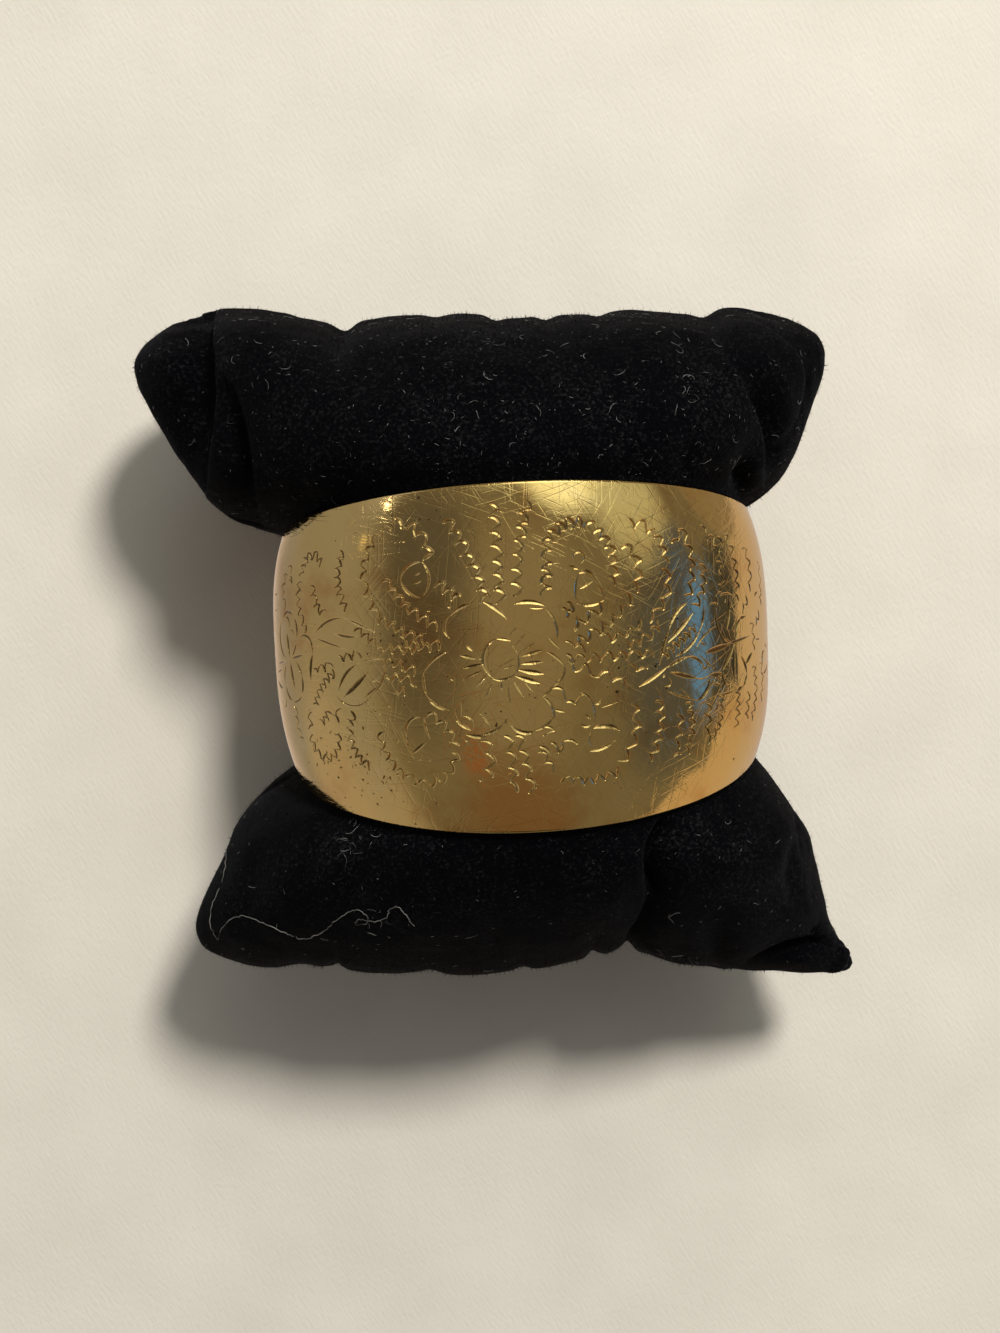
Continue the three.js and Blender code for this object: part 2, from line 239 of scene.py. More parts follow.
BUD_CUTS = [
    (-12, 12.1, -13.6, 11.8, -14.8, 10.1, 0.42),
    (-14.8, 10, -13.9, 8.6, -12.3, 7.9, 0.42),
    (-11.9, 12.1, -11.1, 10.2, -12, 8.1, 0.4),
    (6.9, 9.8, 6.4, 8.1, 6.5, 6.4, 0.32),
    (6.5, 6.4, 8.1, 6.15, 9.8, 6.55, 0.52),
    (9.8, 6.7, 9.6, 7.7, 9, 8.4, 0.38),
    (7, 9.9, 8.3, 9.9, 8.8, 9, 0.52),
    (6.4, 11.5, 6.8, 12.4, 7.25, 11.1, 0.35),
    (-15.9, -8, -15, -10.2, -14.4, -11.6, 0.35),
    (-15.1, -9, -15, -7.4, -13.1, -6.4, 0.42),
    (-12.7, -6.4, -12.5, -7.9, -12.1, -9, 0.38),
    (6.3, -4.1, 7.7, -5.2, 7.8, -8.1, 0.35),
    (7.9, -5.6, 8.7, -5.6, 9.1, -5.1, 0.35),
    (6.3, -8, 7, -8.3, 7.7, -8, 0.42),
    (7.9, -8.6, 9.2, -8.4, 11.1, -9.1, 0.65),
    (7.6, -9, 7.4, -9.8, 7.5, -10.8, 0.32),
    (7.4, -11.35, 9.1, -11, 10.6, -10.3, 0.55),
]
RIGHT_LEAF_CUTS = [
    (16.8, -1.6, 17.4, 0.3, 18.3, 2.3, 0.45),
    (18.3, 2.3, 19.1, 4, 21.2, 5.4, 0.5),
    (19.1, -0.9, 21.6, 0.4, 23.1, 2.1, 0.45),
    (23.1, 2.1, 23.7, 3.6, 23.9, 4.9, 0.4),
    (22.4, 0, 23.8, 1.3, 26, 2.2, 0.3),
    (17.9, -2.1, 19.5, -1.45, 21, -1.1, 0.5),
    (21, -1.1, 22.4, -1.5, 23.5, -2.5, 0.42),
    (23.2, -2.4, 23.6, -2.8, 23.9, -2, 0.35),
    (22.3, -3.9, 23.2, -4, 24.4, -3.75, 0.22),
    (22.2, -6.65, 23.6, -5.8, 24.5, -4, 0.58),
    (17.7, -5, 19.5, -5.7, 22.2, -6.6, 0.35),
    (22.4, -7.1, 24.4, -6.7, 26, -6.2, 0.3),
    (26, -6.2, 27.8, -6.3, 29.6, -6, 0.36),
    (13.9, -4.1, 16, -3.1, 17.9, -2, 0.45),
    (17.4, -4.4, 18.3, -3.8, 18, -3.3, 0.3),
    (16.1, -4, 16.9, -5.8, 17.4, -7.9, 0.2),
]
RIGHT_ROSETTE_CUTS = [
    (27, -3.2, 26.9, -4.2, 28.3, -5.45, 0.42),
    (29.4, -1, 29.15, -3, 29.4, -5.2, 0.5),
    (29.9, -1, 29.95, -3.2, 29.9, -5.6, 0.35),
    (30.9, -1.9, 32, -3.2, 32.4, -4.4, 0.55),
    (32.3, -4.4, 31.9, -5.4, 31.3, -5.9, 0.45),
    (26.1, 4.4, 26.2, 2, 28.4, -0.1, 0.38),
    (26.9, 5.8, 28.2, 6.05, 29.5, 5.75, 0.36),
    (28.8, 5.6, 28.6, 3.9, 28, 1.6, 0.62),
    (31.3, 2.7, 30.2, 1.8, 29.9, 0.2, 0.5),
    (39.5, -2.3, 38, -3, 38.5, -4, 0.5),
    (38.4, -4.9, 40.2, -4.8, 41.2, -3.8, 0.5),
    (35.7, 5.1, 36.4, 5.5, 37.2, 5.6, 0.4),
]
LEFT_LEAF_CUTS = [
    (-28.8, 3.6, -26.2, 5.2, -23.1, 5.6, 0.45),
    (-23.1, 5.6, -20.8, 4.8, -18.6, 3.9, 0.4),
    (-25, 3.75, -23.2, 3.4, -21.1, 3.4, 0.5),
    (-29, 3.2, -26.2, 2.5, -23.1, 1.8, 0.38),
    (-24.75, -3.25, -23.7, -1.5, -21, 0.2, 0.45),
    (-23.9, -4, -22, -2.7, -19.9, -0.9, 0.68),
    (-20.6, -4, -19.4, -3.2, -18, -2.4, 0.38),
    (-25.2, -4, -22.6, -5.1, -19.4, -3.6, 0.36),
    (-19.4, -3.6, -17.9, -1.9, -17.5, 0.5, 0.32),
    (-21, 0.2, -19.3, 0.65, -17.6, 0.6, 0.34),
]
LEFT_ROSETTE_CUTS = [
    (-36.7, 0.2, -38.6, 2.1, -37.2, 5.2, 0.6),
    (-37.2, 5.2, -35.4, 6.2, -33.6, 5.6, 0.5),
    (-33.6, 5.6, -32.8, 4.4, -33, 2.9, 0.45),
    (-36.3, 5.5, -35.1, 5.2, -34.95, 3.9, 0.42),
    (-34.7, 3.8, -34.1, 3.9, -33.8, 3.2, 0.35),
    (-33.1, 2.5, -33.7, 1.5, -34.8, 0.5, 0.45),
    (-35.8, 3.5, -35.6, 2, -35.3, 0.4, 0.75),
    (-36.6, -0.6, -37.6, -2, -37.4, -3.3, 0.5),
    (-37.4, -3.3, -36.8, -4.4, -35.3, -5.2, 0.55),
    (-35.3, -5.2, -33.6, -5, -32.3, -4, 0.42),
    (-32.3, -4, -32, -2.9, -32.1, -1.8, 0.45),
    (-32, -1.9, -32.7, -0.8, -33.6, 0.1, 0.42),
    (-35.2, -0.2, -34.8, -2, -34.2, -3.6, 0.75),
    (-32.3, 3, -30.6, 3.3, -29.3, 1.25, 0.42),
    (-29.3, 1.25, -29.9, -0.5, -30, -2.2, 0.55),
    (-41.6, -3, -40.1, -3.7, -38.5, -3.8, 0.5),
    (-37.8, -4.6, -37.9, -5.6, -39.3, -6.3, 0.42),
]

# Straight cuts: the flower's rays, the veins and the small marks.
# columns: start s, start t, end s, end t, width
STRAIGHT_CUTS = [
    (-7.7, 0.9, -5.2, 0.4, 0.46),
    (-7.3, -0.6, -4.9, -0.2, 0.46),
    (-7.5, -2, -5, -0.9, 0.3),
    (-6, -2.9, -4.5, -1.4, 0.42),
    (-5, -4.2, -3.9, -2.4, 0.35),
    (-2.9, -3.4, -2.8, -2.2, 0.4),
    (-2, -5, -2.1, -2.9, 0.25),
    (-0.4, -4.3, -1.6, -2.1, 0.32),
    (0.7, -3.7, -0.3, -2.3, 0.25),
    (1.6, -2.8, -1.2, -1.8, 0.58),
    (2.1, -1.7, -0.8, -1.1, 0.58),
    (2.1, -0.25, -0.6, -0.4, 0.44),
    (2.1, 1.1, -0.5, 0.5, 0.44),
    (1.3, 2.1, -0.7, 0.9, 0.25),
    (0.2, 3.2, -1.2, 1.75, 0.22),
    (-0.8, 4, -1.8, 3, 0.22),
    (-6.9, 2.1, -6.2, 1.4, 0.38),
    (-5, 2.9, -4.95, 2.2, 0.25),
    (-3.3, -0.7, -0.9, 0.5, 0.2),
    (-2.8, -0.9, -1.2, -0.5, 0.2),
    (0.9, 6.15, 2.4, 6.05, 0.25),
    (2.9, 2.6, 4.1, 1.2, 0.3),
    (-2.4, -6.9, -3, -7.5, 0.4),
    (-6.9, -8.05, -8.5, -7.1, 0.45),
    (-8, -4.6, -8, -6.6, 0.3),
    (-8.6, 3.75, -4.1, 4.1, 0.15),
    (-11.7, 12.4, -10.6, 13, 0.36),
    (-12.9, 10.6, -12.2, 10.9, 0.3),
    (-13, 9.6, -12.1, 9.9, 0.3),
    (7, 8.1, 8.6, 8.9, 0.36),
    (5.7, 10.9, 6.9, 10.4, 0.42),
    (-14.6, -10.9, -12.6, -9.4, 0.42),
    (-13.9, -11.6, -13.5, -11.6, 0.35),
    (-12.6, -11.7, -12.2, -11.7, 0.35),
    (6.9, -6.9, 7.5, -7.4, 0.35),
    (3.1, -6, 4.4, -6.4, 0.32),
    (9, -6.2, 11, -5.7, 0.15),
    (18.1, 0.9, 22, 4.1, 0.62),
    (23, 0.5, 23.9, 0, 0.28),
    (22.7, -1, 25.5, -3.2, 0.25),
    (18.3, -2.75, 22.3, -3.9, 0.62),
    (24.4, -3.7, 27, -3.75, 0.58),
    (19.9, -5, 21.3, -6.3, 0.25),
    (17.2, -3.3, 17.5, -2.9, 0.36),
    (23.9, -0.85, 28.4, -0.25, 0.78),
    (28, -0.2, 33.5, 0.35, 0.46),
    (30.2, 1.1, 29.3, -0.6, 0.46),
    (29.4, -0.45, 27, -3.2, 0.62),
    (28, -5.6, 28.5, -5.35, 0.5),
    (31.2, -5.85, 29.9, -6.3, 0.5),
    (32.2, -3.1, 34.1, -1.9, 0.6),
    (28, 5.6, 27.9, 4.9, 0.3),
    (31, 2.7, 32.5, 2.9, 0.46),
    (39.8, -1.3, 41.2, -1.9, 0.45),
    (35.5, -0.4, 37.2, -0.4, 0.4),
    (-34, 2.5, -33, 2.65, 0.32),
    (-34.8, 0.3, -31.25, 0.95, 0.46),
    (-40.2, -0.7, -36.7, -0.15, 0.46),
    (-41.2, -2, -38.4, -1.2, 0.4),
    (-41.4, 8.1, -39.5, 8.5, 0.42),
    (-41, 6.2, -40, 6.2, 0.4),
]

# Lines made by rocking the graver from side to side: each is a row of small hooks through three places,
# which stand closer than the tables count them.
# columns: start s, start t, middle s, middle t, end s, end t, hooks
HOOK_CROWDING = 1.12
WRIGGLE_LINES = [
    (-8.7, 16.9, -6.6, 13.3, -4.3, 7.2, 6),
    (-2.9, 18.6, -2.7, 12.4, -2.5, 6.9, 6),
    (1.3, 18.7, -0.1, 13.4, -0.4, 7.6, 6),
    (-9.9, 9.6, -8.8, 8.6, -7.1, 7.2, 3),
    (-5.2, -9.2, -4.7, -11.5, -5.4, -14.6, 3),
    (-2.4, -8.8, -2.1, -11.5, -2.2, -16.6, 4),
    (-1.2, -8.8, -0.5, -11.8, 0.1, -16, 4),
    (1.7, -10.3, 2, -11.4, 2.7, -12.6, 1),
    (-17.8, 5.6, -19.7, 8.6, -20, 12, 4),
    (-20, 12, -18.4, 14.9, -15.5, 16.8, 4),
    (-15.5, 16.8, -12.6, 15.9, -11.1, 12.3, 4),
    (-17, 10.2, -14.5, 7.2, -10.2, 4.4, 6),
    (2.9, 7.6, 3.1, 10.6, 3.3, 13.6, 4),
    (3.3, 13.6, 6.2, 15.9, 9.4, 14.9, 5),
    (9.4, 14.9, 11.2, 12, 10.6, 8, 5),
    (12.9, 13, 14.5, 10, 13.2, 6.8, 4),
    (13.2, 6.8, 10, 3.8, 5, 1.5, 5),
    (14, 15.4, 17.2, 14, 18.4, 9.9, 5),
    (18.4, 9.9, 17.6, 5.6, 14.6, 3.6, 4),
    (14.6, 3.6, 12.2, 2.5, 9.6, 2.1, 3),
    (9.6, 5.7, 7.5, 4.6, 5, 3.4, 3),
    (5.8, 6.2, 5.1, 5.5, 4.4, 4.9, 2),
    (6.4, 1.1, 7.5, 0.9, 8.5, 0.6, 1),
    (4.9, -0.1, 11, -0.1, 16.8, -0.2, 6),
    (5, -0.8, 8.8, -2, 12.6, -3.7, 4),
    (12.9, -1.7, 14.2, -1.8, 14.9, -2.8, 2),
    (12, 1, 14.6, 1.5, 17.1, 3.4, 4),
    (-12.2, -6, -9.8, -7.9, -8.9, -10.8, 4),
    (-8.9, -10.8, -10.4, -13.5, -13.4, -14.5, 4),
    (-13.4, -14.5, -17, -12.8, -18.6, -7.5, 6),
    (3.5, -3.3, 5.3, -4.9, 7, -4.9, 2),
    (2.3, -7.7, 2.6, -8.8, 2, -9.5, 1),
    (4.4, -9.5, 5.4, -9.8, 6.6, -9.2, 1),
    (3.1, -9.9, 3.9, -10.7, 4.4, -10.5, 1),
    (1.5, -11, 2, -12.3, 3, -13.3, 2),
    (13.2, -6, 13.4, -9, 11.2, -13.2, 4),
    (11, -14.1, 7, -14.9, 3.3, -14.2, 5),
    (16.5, -6, 16.7, -9.6, 14.6, -13.6, 5),
    (19.6, -8, 19.4, -10.5, 18.7, -12.6, 3),
    (18.9, -12.9, 19.5, -13.4, 20.1, -13.6, 1),
    (20.8, -6.6, 21.4, -9.2, 20.3, -13.3, 5),
    (24.3, -7.2, 24.2, -9, 23.6, -11.6, 3),
    (26.6, -6.5, 26.4, -8.6, 25.9, -10.9, 4),
    (25.7, -10.8, 24.9, -11.4, 23.4, -12, 2),
    (25.8, -3.9, 25.9, -5, 25.9, -6, 2),
    (30, -6.4, 30.2, -8.6, 29.8, -11, 4),
    (33, -6.9, 32.5, -8.8, 32.4, -10.8, 3),
    (34.5, -3.6, 35.2, -6, 33.6, -10.8, 5),
    (37.2, -3.4, 38, -6, 37, -9, 4),
    (34.3, 2, 34.8, 0, 34.3, -2.2, 3),
    (17.3, -0.7, 20, 0.9, 22.4, 2.4, 5),
    (20, 12.7, 21.3, 13.7, 22.2, 12.6, 2),
    (22.2, 12.4, 22.4, 9.2, 21.2, 6, 4),
    (24.2, 10, 24.2, 8, 22.3, 4.8, 4),
    (24.6, 14.1, 26.6, 12.8, 27.2, 10.4, 3),
    (27.4, 10.2, 27.4, 7.4, 25.3, 4.6, 4),
    (28, 12.6, 29.9, 12.5, 30.6, 10.6, 3),
    (30.7, 10.4, 30.9, 7.5, 30.2, 4.4, 4),
    (33.6, 11.6, 34.8, 8.6, 33.4, 5.6, 4),
    (33.3, 5.2, 32.4, 4.2, 31, 3.6, 2),
    (38.8, 9.5, 38.5, 6, 37.6, 3.2, 4),
    (37.2, 3, 36, 2, 35, 1.5, 2),
    (-17.8, 5.4, -14.2, 3.7, -9.4, 2, 6),
    (-15.2, 2.9, -12.6, 2.2, -10.4, 1.8, 3),
    (-21.4, 4.4, -18, 2.4, -13, 1.8, 6),
    (-24.4, 0.6, -22.3, 1, -20.3, 1.4, 3),
    (-18.2, 0.3, -15.8, 0.1, -13.2, -1, 4),
    (-19, -2.4, -16.4, -1.6, -13.1, -2.2, 4),
    (-16.2, -2.9, -15.3, -3.2, -14.4, -3.4, 2),
    (-36, 6.9, -36.9, 9.4, -35.3, 11.3, 4),
    (-35.2, 11.4, -34.2, 11, -34.9, 9.9, 2),
    (-30.5, 4, -32.1, 7, -31.6, 10.8, 5),
    (-31.6, 10.8, -29.8, 13.2, -27.2, 12.2, 5),
    (-28.9, 9.6, -28.2, 7.2, -26.2, 6, 4),
    (-23.4, 13.6, -24.3, 10.2, -22.8, 6.7, 6),
    (-22.6, -6.1, -23.4, -9.6, -20.9, -12.6, 6),
    (-25.6, -8.8, -28.2, -12, -31.2, -8.6, 7),
    (-31.2, -8.6, -30.9, -6.8, -31, -5.4, 2),
    (-34.5, -6, -34.4, -8.6, -33.4, -10.8, 4),
    (-29.5, -5.4, -28, -3.2, -25.4, -1.1, 5),
    (-29.1, -0.3, -27.2, -0.6, -25.5, 0.5, 3),
    (-28.6, -7.5, -27.5, -6.8, -26.6, -5.6, 3),
    (-26, -6.9, -25.1, -6.3, -25.5, -5.2, 2),
]

# Pits in the sheet. columns: s, t, size
PITS = [
    (-8.75, -1.9, 0.5), (-8.7, 6.7, 0.45), (-11.3, 6.3, 0.35),
    (-29.1, -9.5, 0.4), (-29, -14.1, 0.35), (-26.8, -14.4, 0.4), (-24.1, -15.5, 0.35),
    (-26.4, -17, 0.3), (-22.4, -14.4, 0.4), (-21.7, -14.8, 0.3), (-21.1, -16.1, 0.35),
    (-21, -9.1, 0.35), (-20.3, -8.2, 0.3), (-19.7, -9.4, 0.35), (-18.2, -15.6, 0.4),
    (-17.3, -15.6, 0.3), (-17.8, -7.3, 0.3), (-18.6, -6, 0.3), (-23.4, 12.7, 0.35),
    (-21.4, 15.9, 0.3), (-14.3, 14.6, 0.3), (-6.1, -14.2, 0.45), (-2.5, -13.4, 0.35),
    (2.7, -15.4, 0.35), (0.5, -15.4, 0.3), (30.1, -15, 0.45), (24.1, -14.9, 0.3),
    (-12.1, -17, 0.5), (-7.5, -9.3, 0.4), (1.4, -11.2, 0.35),
]

# Small flecks at the lower left: how many, their middle and their spread. columns: s, t
FLECKS = 70
FLECKS_MIDDLE = (-24, -11.5)
FLECKS_SPREAD = (5.5, 3)

# A leaf spray for the sides, which the photograph hides. It is placed again towards each end.
# s counts from the spray's own place, away from the front.
SPRAY_CUTS = [
    (0, 0, 3.2, 2.6, 6.8, 2, 0.48),
    (0, 0, 3.6, -0.4, 6.8, 2, 0.42),
    (1.6, 0.9, 3.6, 1.4, 5.4, 1.6, 0.6),
    (0, -0.4, 2.4, -3.6, 6, -3.6, 0.46),
    (0, -0.4, 3.4, -1.4, 6, -3.6, 0.42),
    (1.5, -1.2, 3.2, -2.4, 4.8, -3, 0.58),
]
SPRAY_LINES = [
    (0.5, 3.4, 2.6, 6.6, 6.6, 7.6, 4),
    (6.6, 7.6, 9.6, 6, 9.4, 3.2, 4),
    (0.5, -3.9, 2.2, -7.2, 6.2, -8.4, 4),
    (6.2, -8.4, 9.4, -7, 9.2, -4.2, 4),
    (7.4, 0.9, 9.2, -0.2, 10.8, 0.2, 2),
]
SPRAY_STARTS = [42.5, 54, 65.5]
SPRAY_SHRINK = [1, 0.9, 0.72]

# How far apart the places along a cut lie, in squares: a bowed cut, a straight one or a spray's, and
# the two strokes of a hook.
BOWED_STEP = 0.28
STRAIGHT_STEP = 0.3
ACROSS_STEP, BACK_STEP = 0.22, 0.25
# The chart's mesh, in squares: how far apart the places of a cut's search tree and of the plain outer
# face lie, how far the plain face's places keep from the edge and from a cut, how far a cut reaches,
# and the spacing and the edge gap of the inner face.
TREE_STEP = 0.06
FACE_SPACING = 0.72
EDGE_GAP = 0.35
CUT_GAP = 0.22
CUT_REACH = 0.45
INNER_SPACING = 1.6
INNER_GAP = 0.6

# Arc length round the outside of the cuff, against the angle from its front.
ANGLES = np.linspace(-END_ANGLE, END_ANGLE, 4001)
SPEEDS = np.hypot(HALF_WIDTH * np.cos(ANGLES), HALF_HEIGHT * np.sin(ANGLES))
ARCS = np.concatenate([[0], np.cumsum((SPEEDS[1:] + SPEEDS[:-1]) / 2 * np.diff(ANGLES))])
ARCS -= ARCS[-1] / 2
END_ARC = ARCS[-1]


def unit(vectors):
    """Rows of vectors, each scaled to length 1."""
    return vectors / np.linalg.norm(vectors, axis=-1, keepdims=True)


def half_band_at(angle):
    """Half the band's width at an angle from the cuff's front."""
    return (BAND_FRONT - (BAND_FRONT - BAND_SIDE) * (1 - np.cos(angle))) / 2


def half_band(s):
    """Half the band's width at an arc length s."""
    return half_band_at(np.interp(s, ARCS, ANGLES))


def cuff_surface(s, t, depth):
    """Places on the cuff, depth below its outer face, in millimetres."""
    angle = np.interp(s, ARCS, ANGLES)
    full = half_band(s) - RIM
    inset = DOME_INSET * np.abs(t / full) ** DOME_POWER + depth
    across, up = np.sin(angle) / HALF_WIDTH, np.cos(angle) / HALF_HEIGHT
    length = np.hypot(across, up)
    x = HALF_WIDTH * np.sin(angle) - inset * across / length
    z = CENTRE_HEIGHT + HALF_HEIGHT * np.cos(angle) - inset * up / length
    return np.stack([x, t + 0 * x, z], -1)


def dents(s, t):
    """How far years of wear and handwork sink the outer face at places on the chart, in millimetres."""
    total = 0 * s
    for wave in range(10):
        length = 7 + 2.4 * wave
        turn = 2.4 * wave + 0.7
        phase = 1.9 * wave * wave
        swing = 2 * math.pi / length * (s * math.cos(turn) + t * math.sin(turn)) + phase
        total = total + DENT_SLOPE * length / (2 * math.pi) * (1 + np.sin(swing)) / 2
    return total


def even(s, t):
    """No wear at all, for the inner face."""
    return 0


def face_frame(s, t, wear, step):
    """The unit normal and the two unit tangents at places on a face that wear sinks."""
    def face(a, b):
        return cuff_surface(a, b, wear(a, b))
    along = unit(face(s + step, t) - face(s - step, t))
    back = unit(face(s, t + step) - face(s, t - step))
    return unit(np.cross(along, back)), along, back


def whole_turn(z):
    """A complex number's angle, from 0 to a whole turn."""
    return math.atan2(z.imag, z.real) % (2 * math.pi)


def arc_through(start, middle, end, step):
    """Places on the circular arc through three places, about a step apart."""
    a, b, c = (complex(*p) for p in (start, middle, end))
    w = (c - a) / (b - a)
    if abs(w.imag) < 0.02 * abs(w):
        count = max(2, math.ceil(abs(c - a) / step))
        return [(p.real, p.imag) for p in (a + (c - a) * k / count for k in range(count + 1))]
    centre = (b - a) * (w - abs(w) ** 2) / (2j * w.imag) + a
    first = a - centre
    to_middle, to_end = whole_turn((b - centre) / first), whole_turn((c - centre) / first)
    total = to_end if to_middle < to_end else to_end - 2 * math.pi
    count = max(2, math.ceil(abs(total) * abs(first) / step))
    places = [centre + first * complex(math.cos(total * k / count), math.sin(total * k / count))
              for k in range(count + 1)]
    return [(p.real, p.imag) for p in places]


def pushed_cut(path, width):
    """A cut that widens quickly, holds its width and runs out to a point: (places, widths)."""
    shares = np.linspace(0, 1, len(path))
    widths = width * np.clip(np.minimum(shares / 0.3, (1 - shares) / 0.4), 0.12, 1) ** 0.6
    return np.array(path), widths


def wriggle(path_ends, hooks):
    """The hooks of one rocked line, as cuts: a broad stroke across and a thinner one back for each.

    The hooks are bold above the flower and finer everywhere else.
    """
    s, t = path_ends[2:4]
    bold = min(max(t / 5, 0), 1) * min(max(1.6 - abs(s) / 12, 0), 1)
    hooks = round(hooks * HOOK_CROWDING)
    amplitude = 0.50 + 0.12 * bold
    spine = np.array(arc_through(path_ends[0:2], path_ends[2:4], path_ends[4:6], 0.1))
    run = np.concatenate([[0], np.cumsum(np.linalg.norm(np.diff(spine, axis=0), axis=1))])
    period = run[-1] / hooks

    def on_spine(distance):
        return np.array([np.interp(min(max(distance, 0), run[-1]), run, spine[:, k]) for k in (0, 1)])

    def tip(distance, side):
        heading = on_spine(min(distance + 0.2, run[-1])) - on_spine(min(distance, run[-1] - 0.2) - 0.2)
        heading /= np.linalg.norm(heading)
        left = np.array([-heading[1], heading[0]])
        if left @ (-1, 0.35) < 0:
            left = -left
        return on_spine(distance) + side * amplitude * random.uniform(0.85, 1.15) * left

    cuts = []
    start = tip(0, 1)
    for hook in range(hooks):
        turn = tip((hook + random.uniform(0.42, 0.58)) * period, -1)
        chord = turn - start
        bulge = np.array([-chord[1], chord[0]]) * random.uniform(0.16, 0.3) * (0.7 + 0.3 * bold)
        if bulge @ (0.6, 0.8) < 0:
            bulge = -bulge
        across = arc_through(start, (start + turn) / 2 + bulge, turn, ACROSS_STEP)
        shares = np.linspace(0, 1, len(across))
        size = random.uniform(0.32, 0.46) + 0.12 * bold
        cuts.append((np.array(across), size * (0.4 + 0.6 * np.sin(math.pi * (0.1 + 0.75 * shares)) ** 0.8)))
        after = tip((hook + random.uniform(0.9, 1.05)) * period, 1)
        if hook < hooks - 1 or random.random() < 0.5:
            back = turn - after
            bend = np.array([-back[1], back[0]]) * random.uniform(-0.12, 0.2)
            returning = arc_through(turn, (turn + after) / 2 + bend, after, BACK_STEP)
            cuts.append((np.array(returning), size * np.linspace(0.85, 0.6, len(returning))))
        start = after
    return cuts


def spray(sign, place, shrink):
    """One leaf spray on a hidden side, mirrored to the left where sign is -1."""
    def moved(row):
        return [v * shrink * sign + sign * place if k % 2 == 0 else v * shrink
                for k, v in enumerate(row[:6])]
    cuts = [pushed_cut(arc_through(r[0:2], r[2:4], r[4:6], STRAIGHT_STEP), row[6])
            for row in SPRAY_CUTS for r in [moved(row)]]
    for row in SPRAY_LINES:
        cuts += wriggle(moved(row), row[6])
    return cuts


def all_cuts():
    """Every cut of the engraving, as (places, widths) in squares."""
    cuts = []
    charts = [FLOWER_CUTS, BUD_CUTS, RIGHT_LEAF_CUTS, RIGHT_ROSETTE_CUTS, LEFT_LEAF_CUTS, LEFT_ROSETTE_CUTS]
    for row in (row for chart in charts for row in chart):
        cuts.append(pushed_cut(arc_through(row[0:2], row[2:4], row[4:6], BOWED_STEP), row[6]))
    for row in STRAIGHT_CUTS:
        middle = ((row[0] + row[2]) / 2, (row[1] + row[3]) / 2)
        cuts.append(pushed_cut(arc_through(row[0:2], middle, row[2:4], STRAIGHT_STEP), row[4]))
    for row in WRIGGLE_LINES:
        cuts += wriggle(row[:6], row[6])
    for s, t, size in PITS:
        path = np.array([(s - size / 4, t), (s, t), (s + size / 4, t)])
        cuts.append((path, np.array([0.7, 1, 0.7]) * size))
    for _ in range(FLECKS):
        s, t = (random.gauss(*place) for place in zip(FLECKS_MIDDLE, FLECKS_SPREAD))
        size = random.uniform(0.16, 0.4)
        run, rise = random.uniform(-0.5, 0.5), random.uniform(-0.5, 0.5)
        path = np.array([(s, t), (s + run / 2, t + rise / 2), (s + run, t + rise)])
        cuts.append((path, np.array([0.6, 1, 0.5]) * size))
    for sign in (-1, 1):
        for place, shrink in zip(SPRAY_STARTS, SPRAY_SHRINK):
            cuts += spray(sign, place, shrink)
    return cuts


def outline_of(path, widths):
    """The outline of a cut, once round it."""
    heading = unit(np.gradient(path, axis=0))
    side = np.stack([-heading[:, 1], heading[:, 0]], 1) * widths[:, None] / 2
    start = path[:1] - heading[:1] * widths[0] / 2
    end = path[-1:] + heading[-1:] * widths[-1] / 2
    return np.concatenate([start, path + side, end, (path - side)[::-1]])


def face_edge():
    """The edge of the cuff's outer face on the chart, once round: a strip with rounded ends."""
    corner = END_CORNER - RIM
    last = END_ARC - RIM
    straight = np.linspace(-(last - corner), last - corner, 261)
    turns = np.linspace(0, math.pi / 2, 9)[1:]
    right = [(last - corner + corner * math.sin(a), corner * (1 - math.cos(a))) for a in turns]
    top = [(s, half_band(s) - RIM) for s in straight]
    top += [(s, half_band(s) - RIM - cut) for s, cut in right]
    end_half = top[-1][1]
    end = [(last, end_half * (1 - 2 * k / 16)) for k in range(1, 16)]
    bottom = [(s, -t) for s, t in reversed(top)]
    half_loop = top + end + bottom
    left_end = [(-s, t) for s, t in reversed(top) if s > last - corner + 1e-6]
    other_end = [(-last, end_half * (2 * k / 16 - 1)) for k in range(1, 16)]
    left_bottom = [(s, -t) for s, t in reversed(left_end)]
    return np.array([*left_end, *half_loop, *left_bottom, *other_end])


def hex_points(spacing, edge_gap):
    """An even spread of places over the outer face, edge_gap inside its edge."""
    rows = []
    count = int(BAND_FRONT / spacing)
    for r in range(-count, count + 1):
        t = r * spacing * math.sqrt(3) / 2
        s = np.arange(-END_ARC, END_ARC, spacing) + (spacing / 2 if r % 2 else 0)
        rows.append(np.stack([s, np.full(len(s), t)], 1))
    points = np.concatenate(rows)
    last = END_ARC - RIM - edge_gap
    past = np.clip(np.abs(points[:, 0]) - (END_ARC - END_CORNER), 0, END_CORNER)
    rounding = END_CORNER - np.sqrt(END_CORNER ** 2 - past ** 2)
    inside = np.abs(points[:, 1]) < half_band(points[:, 0]) - RIM - edge_gap - rounding
    return points[inside & (np.abs(points[:, 0]) < last)]


def sample_tree(cuts, step):
    """A search tree of places along the cuts, and each one's half width."""
    places, halves = [], []
    for path, widths in cuts:
        run = np.concatenate([[0], np.cumsum(np.linalg.norm(np.diff(path, axis=0), axis=1))])
        fine = np.linspace(0, run[-1], max(2, int(run[-1] / step)))
        places.append(np.stack([np.interp(fine, run, path[:, k]) for k in (0, 1)], 1))
        halves.append(np.interp(fine, run, widths) / 2)
    places, halves = np.concatenate(places), np.concatenate(halves)
    tree = kdtree.KDTree(len(places))
    for k, (s, t) in enumerate(places):
        tree.insert((s, t, 0), k)
    tree.balance()
    return tree, halves


